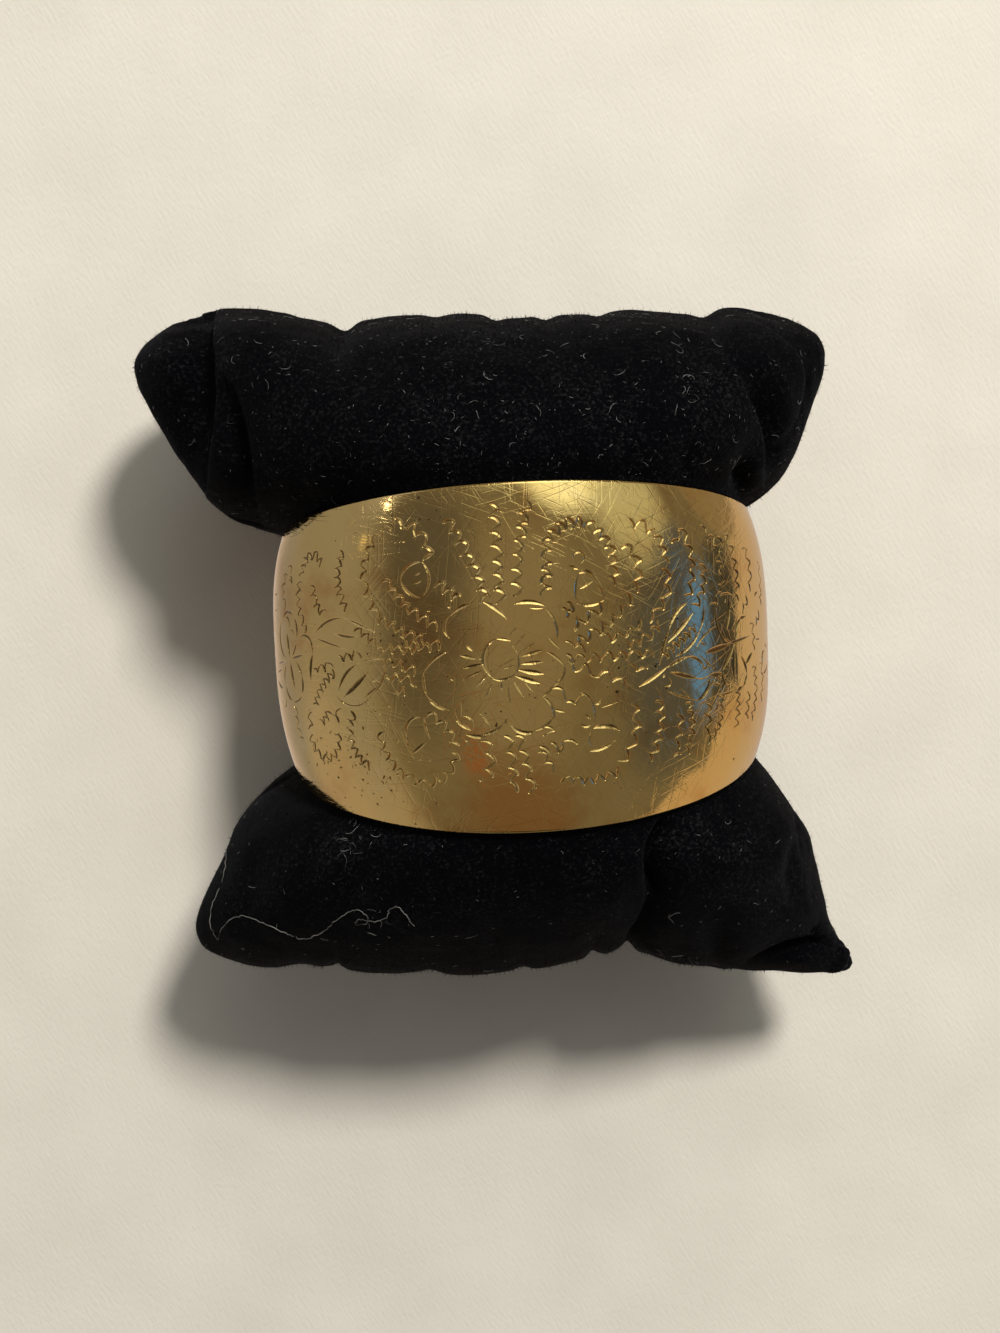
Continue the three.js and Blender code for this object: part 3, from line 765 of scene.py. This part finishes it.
def chart_mesh(cuts):
    """The outer face cut up along its engraving: (places, triangles, depth of each place)."""
    edge = face_edge()
    tree, halves = sample_tree(cuts, TREE_STEP)
    points = [tuple(p) for p in edge]
    edges = [(k, (k + 1) % len(edge)) for k in range(len(edge))]
    for path, widths in cuts:
        first = len(points)
        points += [tuple(p) for p in path]
        edges += [(first + k, first + k + 1) for k in range(len(path) - 1)]
        ring = outline_of(path, widths)
        first = len(points)
        points += [tuple(p) for p in ring]
        edges += [(first + k, first + (k + 1) % len(ring)) for k in range(len(ring))]
    for s, t in hex_points(FACE_SPACING, EDGE_GAP):
        place, nearest, away = tree.find((s, t, 0))
        if away > halves[nearest] + CUT_GAP:
            points.append((s, t))
    out = delaunay_2d_cdt([Vector(p) for p in points], edges, [list(range(len(edge)))], 1, 1e-3, False)
    places = np.array([tuple(v) for v in out[0]])
    depth = np.zeros(len(places))
    for k, (s, t) in enumerate(places):
        for _, nearest, away in tree.find_range((s, t, 0), CUT_REACH):
            half = halves[nearest]
            depth[k] = max(depth[k], CUT_SLOPE * half * (1 - away / half))
    return places, np.array(out[2]), depth


def boundary_loop(triangles):
    """The places on the edge of a triangulated chart, in order, anticlockwise."""
    onward = dict.fromkeys(pair for a, b, c in triangles for pair in ((a, b), (b, c), (c, a)))
    follow = {start: end for start, end in onward if (end, start) not in onward}
    first = min(follow)
    loop = [first]
    while follow[loop[-1]] != first:
        loop.append(follow[loop[-1]])
    return loop


def cuff_arrays():
    """The engraved cuff as one closed mesh: (places, faces, the normal at each corner of each face)."""
    random.seed(SEED)
    chart, triangles, depth = chart_mesh(all_cuts())
    chart = chart * SQUARE
    s, t = chart[:, 0], chart[:, 1]
    loop = boundary_loop(triangles.tolist())
    normal, along, back = face_frame(s, t, dents, 0.02)
    outer = cuff_surface(s, t, dents(s, t) + depth)

    edge = chart[loop]
    run = unit(np.roll(edge, -1, axis=0) - np.roll(edge, 1, axis=0))
    out = along[loop] * run[:, 1:2] - back[loop] * run[:, 0:1]
    edge_normal = normal[loop]
    centre = outer[loop] - RIM * edge_normal
    places, normals, faces, corners = [outer], [normal], [], []
    ring = np.array(loop)
    count = len(loop)
    first = len(outer)
    for step in range(1, RIM_STEPS + 1):
        turn = math.pi * step / RIM_STEPS
        facing = math.cos(turn) * edge_normal + math.sin(turn) * out
        places.append(centre + RIM * facing)
        normals.append(facing)
        next_ring = np.arange(first, first + count)
        for k in range(count):
            after = (k + 1) % count
            faces.append((ring[k], next_ring[k], next_ring[after], ring[after]))
        ring = next_ring
        first += count

    inner_points = [tuple(p) for p in edge / SQUARE]
    inner_points += [tuple(p) for p in hex_points(INNER_SPACING, INNER_GAP)]
    rounds = [(k, (k + 1) % count) for k in range(count)]
    flat = delaunay_2d_cdt([Vector(p) for p in inner_points], rounds, [list(range(count))], 1, 1e-4, True)
    source = [ids[0] if ids else -1 for ids in flat[3]]
    inner_chart = np.array([tuple(v) for v in flat[0]]) * SQUARE
    inside = [k for k, where in enumerate(source) if where >= count or where < 0]
    number = {k: ring[where] for k, where in enumerate(source) if 0 <= where < count}
    number.update({k: first + place for place, k in enumerate(inside)})
    under = inner_chart[inside]
    places.append(cuff_surface(under[:, 0], under[:, 1], SHEET))
    normals.append(-face_frame(under[:, 0], under[:, 1], even, 0.01)[0])
    places, normals = np.concatenate(places), np.concatenate(normals)

    groove = depth[triangles].max(axis=1) > 1e-4
    for face in faces:
        corners.append(normals[list(face)])
    for triangle, cut in zip(triangles.tolist(), groove):
        a, b, c = places[triangle]
        flat_normal = np.cross(b - a, c - a)
        size = np.linalg.norm(flat_normal)
        flat_face = cut and size > 1e-9
        corners.append(np.repeat(flat_normal[None] / size, 3, 0) if flat_face else normals[triangle])
        faces.append(tuple(triangle))
    for triangle in flat[2]:
        turned = [number[k] for k in reversed(triangle)]
        corners.append(normals[turned])
        faces.append(tuple(turned))
    deep = np.zeros(len(places))
    # The cuts' darkness by depth, widened towards the sides: partly grime, partly painted shade.
    grime_and_shade = np.clip((np.abs(s) - GRIME_AND_SHADE_FROM) / (GRIME_AND_SHADE_FULL - GRIME_AND_SHADE_FROM), 0, 1)
    deep[:len(depth)] = np.minimum(depth / CUT_FULL, 1) * (1 + GRIME_AND_SHADE * grime_and_shade)
    return places, faces, np.concatenate(corners), deep


def new_object(name, places, faces, material):
    """A mesh object from places in metres."""
    mesh = bpy.data.meshes.new(name)
    mesh.from_pydata([tuple(p) for p in places], [], [tuple(int(k) for k in f) for f in faces])
    mesh.materials.append(material)
    thing = bpy.data.objects.new(name, mesh)
    bpy.context.scene.collection.objects.link(thing)
    return thing


def shade_smooth(thing):
    polygons = thing.data.polygons
    polygons.foreach_set("use_smooth", [True] * len(polygons))


def engraved_cuff(material):
    places, faces, corners, deep = cuff_arrays()
    cuff = new_object("engraved_cuff", places * MM, faces, material)
    shade_smooth(cuff)
    cuff.data.normals_split_custom_set([tuple(n) for n in corners])
    # The attribute cut carries how dark each place in a cut is painted: partly tarnish, partly painted
    # shade.
    cut = cuff.data.attributes.new("cut", "FLOAT", "POINT")
    cut.data.foreach_set("value", deep)
    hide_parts("cuff_band")
    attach(cuff, "root")


# Materials

def node_material(name):
    """A new material, with its node tree, its shader and the object's own coordinates."""
    material = bpy.data.materials.new(name)
    material.use_nodes = True
    tree = material.node_tree
    place = add(tree, "ShaderNodeTexCoord").outputs["Object"]
    return material, tree, tree.nodes["Principled BSDF"], place


def add(tree, kind, settings=(), **inputs):
    """A shader node with its settings and inputs. An input may be a value or another node's output."""
    node = tree.nodes.new(kind)
    for key, value in dict(settings).items():
        setattr(node, key, value)
    for key, value in inputs.items():
        socket = node.inputs[int(key[1:])] if key[0] == "i" and key[1:].isdigit() else node.inputs[key]
        if isinstance(value, bpy.types.NodeSocket):
            tree.links.new(value, socket)
        else:
            socket.default_value = value
    return node


def noise_at(tree, place, scale, detail, roughness=0.5, distortion=0):
    """Noise at a place, from 0 to 1."""
    return add(tree, "ShaderNodeTexNoise", i0=place, Scale=scale, Detail=detail, Roughness=roughness,
               Distortion=distortion).outputs[0]


def carried(tree, value, start, end, to_start, to_end):
    """A value carried from one range to another."""
    return add(tree, "ShaderNodeMapRange", i0=value, i1=start, i2=end, i3=to_start, i4=to_end).outputs[0]


def combined(tree, operation, first, second):
    """Two values put together by a mathematical operation."""
    return add(tree, "ShaderNodeMath", {"operation": operation}, i0=first, i1=second).outputs[0]


def stretched(tree, place, turns, lengths):
    """Places turned, and drawn out to lengths in metres."""
    return add(tree, "ShaderNodeMapping", {"vector_type": "TEXTURE"},
               i0=place, i2=turns, i3=lengths).outputs[0]


def bumped(tree, shader, strength, distance, height):
    """Tilts the shading by the slopes of a height, as if a height of 1 were a distance in metres."""
    bump = add(tree, "ShaderNodeBump", Strength=strength, Distance=distance, Height=height)
    tree.links.new(bump.outputs[0], shader.inputs["Normal"])


def ramp(tree, value, stops):
    """Colours along a value: stops are (place, colour) pairs."""
    node = add(tree, "ShaderNodeValToRGB", i0=value)
    elements = node.color_ramp.elements
    while len(elements) < len(stops):
        elements.new(0.5)
    for element, (place, colour) in zip(elements, stops):
        element.position = place
        element.color = (*colour, 1)
    return node.outputs[0]


def mixed_colour(tree, share, first, second):
    """A mix of two colours, each a value or a node's output."""
    node = add(tree, "ShaderNodeMix", {"data_type": "RGBA"}, Factor=share)
    sockets = [x for x in node.inputs if x.type == "RGBA"]
    for socket, colour in zip(sockets, (first, second)):
        if isinstance(colour, bpy.types.NodeSocket):
            tree.links.new(colour, socket)
        else:
            socket.default_value = (*colour, 1)
    return [x for x in node.outputs if x.type == "RGBA"][0]


def grey(value):
    return (value, value, value)


def brass_material():
    """Worn brass: patches of redder tarnish, dark specks, cuts darkened partly by tarnish and partly by
    painted shade, and layers of fine scratches.
    """
    material, tree, shader, place = node_material("worn_brass")
    patches = noise_at(tree, place, 75, 5, 0.62)
    base = ramp(tree, patches, [(0.32, (0.66, 0.37, 0.12)), (0.46, (0.79, 0.53, 0.19)),
                                (0.60, (0.81, 0.56, 0.21)), (0.74, (0.84, 0.60, 0.26))])
    specks = noise_at(tree, place, 1500, 2)
    dirty = carried(tree, noise_at(tree, place, 45, 3), 0.42, 0.66, 0.80, 0.675)
    cut = add(tree, "ShaderNodeAttribute", {"attribute_name": "cut"}).outputs["Fac"]
    # The deeper a cut, the darker its colour: partly tarnish in the hollow, partly painted shade.
    tarnish_and_shade_in_cuts = carried(tree, cut, 0.35, 0.95, 0, 0.9)
    dark = combined(tree, "MAXIMUM", combined(tree, "GREATER_THAN", specks, dirty), tarnish_and_shade_in_cuts)
    tree.links.new(mixed_colour(tree, dark, base, (0.17, 0.10, 0.04)), shader.inputs["Base Color"])
    shader.inputs["Metallic"].default_value = 1
    rubbed = noise_at(tree, stretched(tree, place, (0, 0, 0), (0.009, 0.0006, 0.009)), 1, 4, 0.75)
    gloss = carried(tree, combined(tree, "MULTIPLY", patches, rubbed), 0.15, 0.36, 0.12, 0.035)
    tree.links.new(gloss, shader.inputs["Roughness"])
    height = combined(tree, "ADD", noise_at(tree, place, 900, 3, 0.6), rubbed)
    for layer, turn in enumerate(SCRATCH_TURNS):
        length, width = 0.009 - 0.001 * layer, 0.0005 - 0.00004 * layer
        along = stretched(tree, place, (0.3, 0.2, turn), (length, width, length))
        lines = noise_at(tree, along, 1, 2, distortion=0.4)
        height = combined(tree, "ADD", height, carried(tree, lines, 0.60, 0.68, 0, -1.3))
    bumped(tree, shader, 0.23, 0.00003, height)
    return material


def velvet_material():
    """Black pile: a fine grain of dark hairs and lighter ones, the lighter ones painted glints of the pile,
    evened out by the nap.
    """
    material, tree, shader, place = node_material("black_velvet")
    pile = noise_at(tree, place, 2200, 4, 0.75)
    nap = carried(tree, noise_at(tree, place, 110, 5, 0.65), 0.2, 0.8, 0.42, 0.58)
    # The ramp's top stop gives bright specks: painted glints of the pile, which the pile's hairs share.
    colour = ramp(tree, combined(tree, "MULTIPLY", pile, nap), [
        (0.14, (0.0003, 0.0004, 0.0010)), (0.27, (0.0010, 0.0011, 0.0017)),
        (0.37, (0.0140, 0.0143, 0.0165))])
    tree.links.new(colour, shader.inputs["Base Color"])
    shader.inputs["Roughness"].default_value = 0.9
    shader.inputs["Specular IOR Level"].default_value = 0.08
    shader.inputs["Sheen Weight"].default_value = 0.015
    shader.inputs["Sheen Roughness"].default_value = 0.4
    shader.inputs["Sheen Tint"].default_value = (0.55, 0.6, 0.75, 1)
    bumped(tree, shader, 0.8, 0.0003, pile)
    return material


def lint_material():
    """Dull white fibres, some lighter than others."""
    material, tree, shader, place = node_material("white_lint")
    colour = ramp(tree, noise_at(tree, place, 420, 2), [(0.35, grey(0.04)), (0.68, grey(0.42))])
    tree.links.new(colour, shader.inputs["Base Color"])
    shader.inputs["Roughness"].default_value = 0.8
    return material


def floor_material():
    """Pale cloth with a fine weave."""
    material, tree, shader, place = node_material("pale_floor")
    colour = ramp(tree, noise_at(tree, place, 60, 4),
                  [(0.3, (0.635, 0.61, 0.565)), (0.7, (0.68, 0.655, 0.61))])
    tree.links.new(colour, shader.inputs["Base Color"])
    shader.inputs["Roughness"].default_value = 0.9
    across, along = (noise_at(tree, stretched(tree, place, (0, 0, turn), (0.0016, 0.00045, 1)), 1, 1)
                     for turn in (0.6, 2.1))
    bumped(tree, shader, 0.22, 0.0002, combined(tree, "ADD", across, along))
    return material


# Pillow

def pillow_mesh():
    """A copy of the CAD pillow, with its mesh made even."""
    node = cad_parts["display_pillow"]
    mesh = node.data.copy()
    mesh.name = "velvet_pillow"
    mesh.materials.clear()
    pillow = bpy.data.objects.new("velvet_pillow", mesh)
    bpy.context.scene.collection.objects.link(pillow)
    remesh = pillow.modifiers.new("even", "REMESH")
    remesh.mode = "VOXEL"
    remesh.voxel_size = PILLOW_VOXEL
    apply_modifiers(pillow)
    return pillow


def apply_modifiers(thing):
    """Gives the object its modified mesh, with no modifier left on it."""
    graph = bpy.context.evaluated_depsgraph_get()
    mesh = bpy.data.meshes.new_from_object(thing.evaluated_get(graph))
    thing.modifiers.clear()
    thing.data = mesh


def vertex_vectors(mesh, name):
    """The places or normals of a mesh's vertices, as rows."""
    flat = np.zeros(len(mesh.vertices) * 3)
    mesh.vertices.foreach_get(name, flat)
    return flat.reshape(-1, 3)


def set_places(mesh, places):
    mesh.vertices.foreach_set("co", np.asarray(places).ravel())
    mesh.update()


def past_rim(places):
    """How far places lie beyond the cuff's rims along the wrist axis, in metres, or below 0 inside it."""
    up = places[:, 2] / MM - CENTRE_HEIGHT
    angle = np.arctan2(places[:, 0] / MM / HALF_WIDTH, up / HALF_HEIGHT)
    return np.abs(places[:, 1]) - half_band_at(angle) * MM


def search_tree(places, mesh):
    """A tree of a mesh's faces, with its vertices at the given places."""
    return BVHTree.FromPolygons([Vector(p) for p in places], [tuple(f.vertices) for f in mesh.polygons])


def swell(pillow):
    """Fills the pillow: its free ends swell under pressure, and the cuff holds its middle."""
    places = vertex_vectors(pillow.data, "co")
    held = pillow.vertex_groups.new(name="held")
    for k, reach in enumerate(past_rim(places)):
        hold = 1 - min(max((reach - HOLD_FROM) / HOLD_OVER, 0), 1)
        if places[k, 2] < HELD_BELOW:
            hold = 1
        if hold > 0:
            held.add([k], hold, "REPLACE")
    cloth = pillow.modifiers.new("fill", "CLOTH")
    cloth.settings.use_pressure = True
    cloth.settings.uniform_pressure_force = 4
    cloth.settings.effector_weights.gravity = 0
    cloth.settings.vertex_group_mass = "held"
    cloth.settings.quality = 6
    scene = bpy.context.scene
    for step in range(1, SWELL_FRAMES + 1):
        scene.frame_set(step)
    apply_modifiers(pillow)
    scene.frame_set(1)
    moved = vertex_vectors(pillow.data, "co") - places
    far = np.linalg.norm(moved, axis=1, keepdims=True)
    moved *= np.minimum(1, SWELL_CAP / np.maximum(far, 1e-9))
    places = places + moved
    places[:, 2] = np.maximum(places[:, 2], 0)
    set_places(pillow.data, places)


def crease_depth(places, row):
    """How deep one crease presses in at places in millimetres."""
    spine = np.array(arc_through(row[0:2], row[2:4], row[4:6], 0.25))
    gaps = places[:, None, :2] - spine[None]
    away = np.linalg.norm(gaps, axis=2)
    nearest = away.argmin(axis=1)
    rows = np.arange(len(places))
    heading = np.gradient(spine, axis=0)[nearest]
    gap = gaps[rows, nearest]
    on_left = heading[:, 0] * gap[:, 1] - heading[:, 1] * gap[:, 0] > 0
    width = np.where(on_left, row[7], row[8])
    taper = np.sin(math.pi * (0.06 + 0.88 * nearest / (len(spine) - 1))) ** 0.6
    return row[6] * taper * np.exp(-(away[rows, nearest] / width) ** 2)


def rim_wrinkles():
    """Small creases fanning out from the cuff's rims, as rows of the creases' table."""
    rows = []
    for end in (-1, 1):
        for panel in (-1, 1):
            for place in range(WRINKLES_A_SIDE):
                x = (place + random.uniform(0.2, 0.8)) * 56 / WRINKLES_A_SIDE - 28
                start = end * (half_band(0) - abs(x) * 0.12 + 0.3)
                length = random.uniform(4, 11)
                fan = x * random.uniform(0.008, 0.02) * length
                bend = random.uniform(-0.5, 0.5)
                middle = (x + fan / 2 + bend, start + end * length / 2)
                width = random.uniform(0.8, 1.7)
                rows.append((x, start, *middle, x + fan, start + end * length,
                             random.uniform(0.2, 0.6), width, width, panel))
    return rows


def sewn(pillow):
    """Presses the creases, the sewn edge and its stitches, and the lumps of the filling into the pillow."""
    places = vertex_vectors(pillow.data, "co") / MM
    normals = vertex_vectors(pillow.data, "normal")
    tree = search_tree(places, pillow.data)
    thickness = np.array([tree.ray_cast(Vector(p - 0.02 * n), Vector(-n))[3] or 9
                          for p, n in zip(places, normals)])
    seam = np.interp(places[:, 1], *np.array(SEAM_HEIGHTS, float).T)
    above = places[:, 2] - seam
    facing = np.clip(np.abs(normals[:, 2]) / 0.5, 0, 1)
    depth = np.zeros(len(places))
    far, middle, near_end = PLEAT_RUN
    pleats = [(x, end * far, x, end * middle, x, end * near_end, deep, width, width, 0)
              for x, end, deep, width in PLEATS]
    for row in CREASES + pleats + rim_wrinkles():
        near = np.linalg.norm(places[:, :2] - np.array(row[2:4]), axis=1) < 24
        chosen = np.nonzero(near & (above * row[9] > -1))[0]
        depth[chosen] += crease_depth(places[chosen], row) * (facing[chosen] if row[9] else 1)
    lumps = np.array([noise.noise(Vector(p) / 7) + 0.4 * noise.noise(Vector(p) / 2.6) for p in places])
    stitches = 1 + 0.5 * np.cos(2 * math.pi * places[:, 1] / STITCH_PITCH)
    depth += 0.3 * lumps + 0.5 * np.exp(-(above / 0.7) ** 2) * stitches - PILE
    free = np.clip((past_rim(places * MM) / MM - FREE_FROM) / FREE_OVER, 0, 1)
    free = free * free * (3 - 2 * free)
    places -= normals * (np.minimum(depth, MOST_PRESSED * thickness) * free)[:, None]
    places[:, 2] = np.maximum(places[:, 2], 0)
    set_places(pillow.data, places * MM)


def velvet_pillow(material):
    random.seed(SEED)
    pillow = pillow_mesh()
    swell(pillow)
    smooth = pillow.modifiers.new("smooth", "SUBSURF")
    smooth.levels = smooth.render_levels = 1
    apply_modifiers(pillow)
    sewn(pillow)
    shade_smooth(pillow)
    pillow.data.materials.clear()
    pillow.data.materials.append(material)
    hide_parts("display_pillow")
    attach(pillow, "root")
    return pillow


def velvet_pile(pillow, material):
    """Short hairs standing on the velvet, which soften its outline."""
    mesh = pillow.data
    random.seed(SEED)
    picked = [mesh.polygons[random.randrange(len(mesh.polygons))] for _ in range(HAIRS)]
    roots = np.array([tuple(face.center) for face in picked])
    ups = np.array([tuple(face.normal) for face in picked])
    free = (past_rim(roots) > HAIRLESS * MM) & (roots[:, 2] > MM)
    roots, ups = roots[free], ups[free]
    count = len(roots)
    draws = np.array([[random.uniform(-1, 1) for _ in range(4)] for _ in range(count)])
    lean = draws[:, :3] * HAIR_LEAN
    sides = unit(np.cross(ups, draws[:, :3] + (0.01, 0.02, 0.03)))
    others = np.cross(ups, sides)
    radius = HAIR_RADIUS * MM
    length = (HAIR_LENGTH + 0.12 * draws[:, 3:]) * MM
    base = roots - 0.05 * MM * ups
    corners = [base + radius * (math.cos(turn) * sides + math.sin(turn) * others)
               for turn in (0, 2.1, 4.2)]
    tips = base + length * (ups + lean)
    places = np.stack([*corners, tips], 1).reshape(-1, 3)
    faces = [tuple(4 * k + corner for corner in face)
             for k in range(count) for face in ((0, 2, 1), (0, 1, 3), (1, 2, 3), (2, 0, 3))]
    thing = new_object("velvet_pile", places, faces, material)
    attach(thing, "root")


# Lint

def tube(path, radius, ups):
    """A thin three-sided tube with pointed ends along a path: (places, faces)."""
    count = len(path)
    places, faces = [], []
    for k, (place, up) in enumerate(zip(path, ups)):
        heading = (path[min(k + 1, count - 1)] - path[max(k - 1, 0)]).normalized()
        side = heading.cross(up).normalized()
        size = radius * (0.15 if k in (0, count - 1) else 1)
        for turn in (0.5, 2.6, 4.7):
            places.append(place + size * (math.cos(turn) * side + math.sin(turn) * side.cross(heading)))
    for k in range(count - 1):
        for corner in range(3):
            after = (corner + 1) % 3
            faces.append((3 * k + corner, 3 * k + after, 3 * k + 3 + after, 3 * k + 3 + corner))
    faces += [(2, 1, 0), (3 * count - 3, 3 * count - 2, 3 * count - 1)]
    return places, faces


def crawl(tree, start, heading, length, curl):
    """A path that creeps over the pillow: places and the normals under them, in metres."""
    step = CRAWL_STEP * MM
    path, ups = [], []
    place, up = start
    for _ in range(max(3, int(length / step))):
        path.append(place + up * 0.05 * MM)
        ups.append(up)
        heading = (heading - heading.dot(up) * up).normalized()
        heading = Matrix.Rotation(curl + random.uniform(-0.35, 0.35), 3, up) @ heading
        place, up, _, _ = tree.find_nearest(place + heading * step)
    return path, ups


def thread_path(tree):
    """The loose thread, laid over the pillow."""
    rows = np.array(THREAD)
    run = np.arange(len(rows))
    fine = np.linspace(0, len(rows) - 1, 7 * len(rows))
    smooth = np.stack([np.interp(fine, run, rows[:, k]) for k in (0, 1)], 1)
    for _ in range(3):
        smooth[1:-1] = (smooth[:-2] + 2 * smooth[1:-1] + smooth[2:]) / 4
    path, ups = [], []
    for x, y in smooth:
        place, up, _, _ = tree.ray_cast(Vector((x * MM, y * MM, 0.1)), Vector((0, 0, -1)))
        if place is not None and place.z > 0.01:
            kink = Vector((random.gauss(0, 0.08), random.gauss(0, 0.08), 0))
            path.append(place + (up * 0.08 + kink) * MM)
            ups.append(up)
    return path, ups


def lint_density(place):
    """How much lint lies at a place on the pillow, from 0 to 1."""
    if past_rim(np.array([tuple(place)]))[0] < 0.6 * MM:
        return 0
    if place.z < 22 * MM:
        return 0.15 if place.z > 2 * MM else 0
    middle = math.exp(-(place.x / (26 * MM)) ** 2)
    return 0.45 + 0.55 * middle if place.y > 0 else 0.22


def lint(pillow, material):
    """White fibres and specks caught in the velvet, and one loose thread."""
    polygons = pillow.data.polygons
    tree = search_tree([v.co for v in pillow.data.vertices], pillow.data)
    places, faces = [], []

    def put(part):
        first = len(places)
        places.extend(part[0])
        faces.extend(tuple(first + k for k in face) for face in part[1])

    def fibre(start, longest):
        turn = random.uniform(0, 2 * math.pi)
        heading = Vector((math.cos(turn), math.sin(turn), 0.2))
        length = random.uniform(0.4, longest) * MM
        path, ups = crawl(tree, start, heading, length, random.uniform(-0.4, 0.4))
        put(tube(path, random.uniform(0.012, 0.024) * MM, ups))

    found = 0
    while found < FIBRES + SPECKS:
        face = polygons[random.randrange(len(polygons))]
        if random.random() > lint_density(face.center):
            continue
        start = (face.center.copy(), face.normal.copy())
        if found < FIBRES:
            fibre(start, 1.0 if random.random() < 0.75 else 2.4)
        else:
            place, up = start
            side = up.orthogonal().normalized() * random.uniform(0.03, 0.08) * MM
            put(tube([place - side, place, place + side], random.uniform(0.02, 0.045) * MM, [up] * 3))
        found += 1
    for x, y, reach, count, longest in TUFTS:
        for _ in range(count):
            across, along = (random.gauss(0, reach / 2) for _ in range(2))
            above = Vector(((x + across) * MM, (y + along) * MM, 0.1))
            hit = tree.ray_cast(above, Vector((0, 0, -1)))
            if hit[0] is not None and hit[0].z > 0.01:
                fibre(hit[:2], longest)
    path, ups = thread_path(tree)
    put(tube(path, 0.045 * MM, ups))
    thing = new_object("lint", places, faces, material)
    shade_smooth(thing)
    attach(thing, "root")


# Stage

def pale_floor(material):
    half = FLOOR_HALF
    corners = [(-half, -half, 0), (half, -half, 0), (half, half, 0), (-half, half, 0)]
    floor = new_object("floor", [(x, y, -0.0001) for x, y, _ in corners], [(0, 1, 2, 3)], material)
    # The brass mirrors the room's own floor rows instead, which have the photograph's light and dark sides.
    floor.visible_glossy = False


def area_light(name, place, aim, size, power, colour):
    data = bpy.data.lights.new(name, "AREA")
    data.shape = "DISK"
    data.size = size
    data.energy = power
    data.color = colour
    light = bpy.data.objects.new(name, data)
    light.location = place
    light.rotation_euler = (Vector(aim) - Vector(place)).to_track_quat("-Z", "Y").to_euler()
    bpy.context.scene.collection.objects.link(light)
    return light


def studio_light():
    """A soft key from behind on the right, and the room that the brass mirrors."""
    world = bpy.data.worlds.new("studio")
    bpy.context.scene.world = world
    world.use_nodes = True
    tree = world.node_tree
    background = tree.nodes["Background"]
    heading = add(tree, "ShaderNodeTexCoord").outputs["Generated"]
    colour = ROOM_DIM
    for azimuth, tilt, inner, outer, tint in ROOM:
        turn, lean = math.radians(azimuth), math.radians(tilt)
        middle = Vector((math.cos(turn) * math.sin(lean), math.sin(turn) * math.sin(lean), math.cos(lean)))
        toward = add(tree, "ShaderNodeVectorMath", {"operation": "DOT_PRODUCT"}, i0=heading, i1=middle)
        share = add(tree, "ShaderNodeMapRange", {"interpolation_type": "SMOOTHSTEP"},
                    i0=toward.outputs["Value"], i1=math.cos(math.radians(outer)),
                    i2=math.cos(math.radians(inner)), i3=0, i4=1)
        colour = mixed_colour(tree, share.outputs[0], colour, tint)
    direct = add(tree, "ShaderNodeLightPath").outputs["Is Camera Ray"]
    tree.links.new(mixed_colour(tree, direct, colour, BACKDROP), background.inputs["Color"])
    key = area_light("key", place=(0.35, 0.61, 0.84), aim=(0, 0, 0.02), size=0.2, power=13.5,
                     colour=(1, 0.94, 0.84))
    key.visible_glossy = False
    bpy.context.scene.view_settings.view_transform = "Standard"


def photo_camera():
    """The photograph's viewpoint, from a fit of the cuff's outline. Lengths are from the cuff's centre."""
    distance, elevation, roll = 228.25, math.radians(95.68), math.radians(-2.93)
    slide_right, slide_up = -2.99, -3.31
    focal_pixels, photo_height, sensor = 1700, 1333, 36
    back = Vector((0, -math.cos(elevation), math.sin(elevation)))
    right = Vector((1, 0, 0))
    up = back.cross(right)
    data = bpy.data.cameras.new("camera")
    data.sensor_width = sensor
    data.lens = focal_pixels * sensor / photo_height
    data.clip_start = 0.01
    camera = bpy.data.objects.new("camera", data)
    turned_right = math.cos(roll) * right + math.sin(roll) * up
    turned_up = -math.sin(roll) * right + math.cos(roll) * up
    place = (back * distance + right * slide_right + up * slide_up) * MM
    place.z += CENTRE_HEIGHT * MM
    matrix = camera.matrix_world.copy()
    for column, axis in enumerate((turned_right, turned_up, back, place)):
        for row in range(3):
            matrix[row][column] = axis[row]
    camera.matrix_world = matrix
    bpy.context.scene.collection.objects.link(camera)
    bpy.context.scene.camera = camera


photo_camera()
studio_light()
pale_floor(floor_material())
engraved_cuff(brass_material())
velvet = velvet_material()
pillow = velvet_pillow(velvet)
velvet_pile(pillow, velvet)
lint(pillow, lint_material())
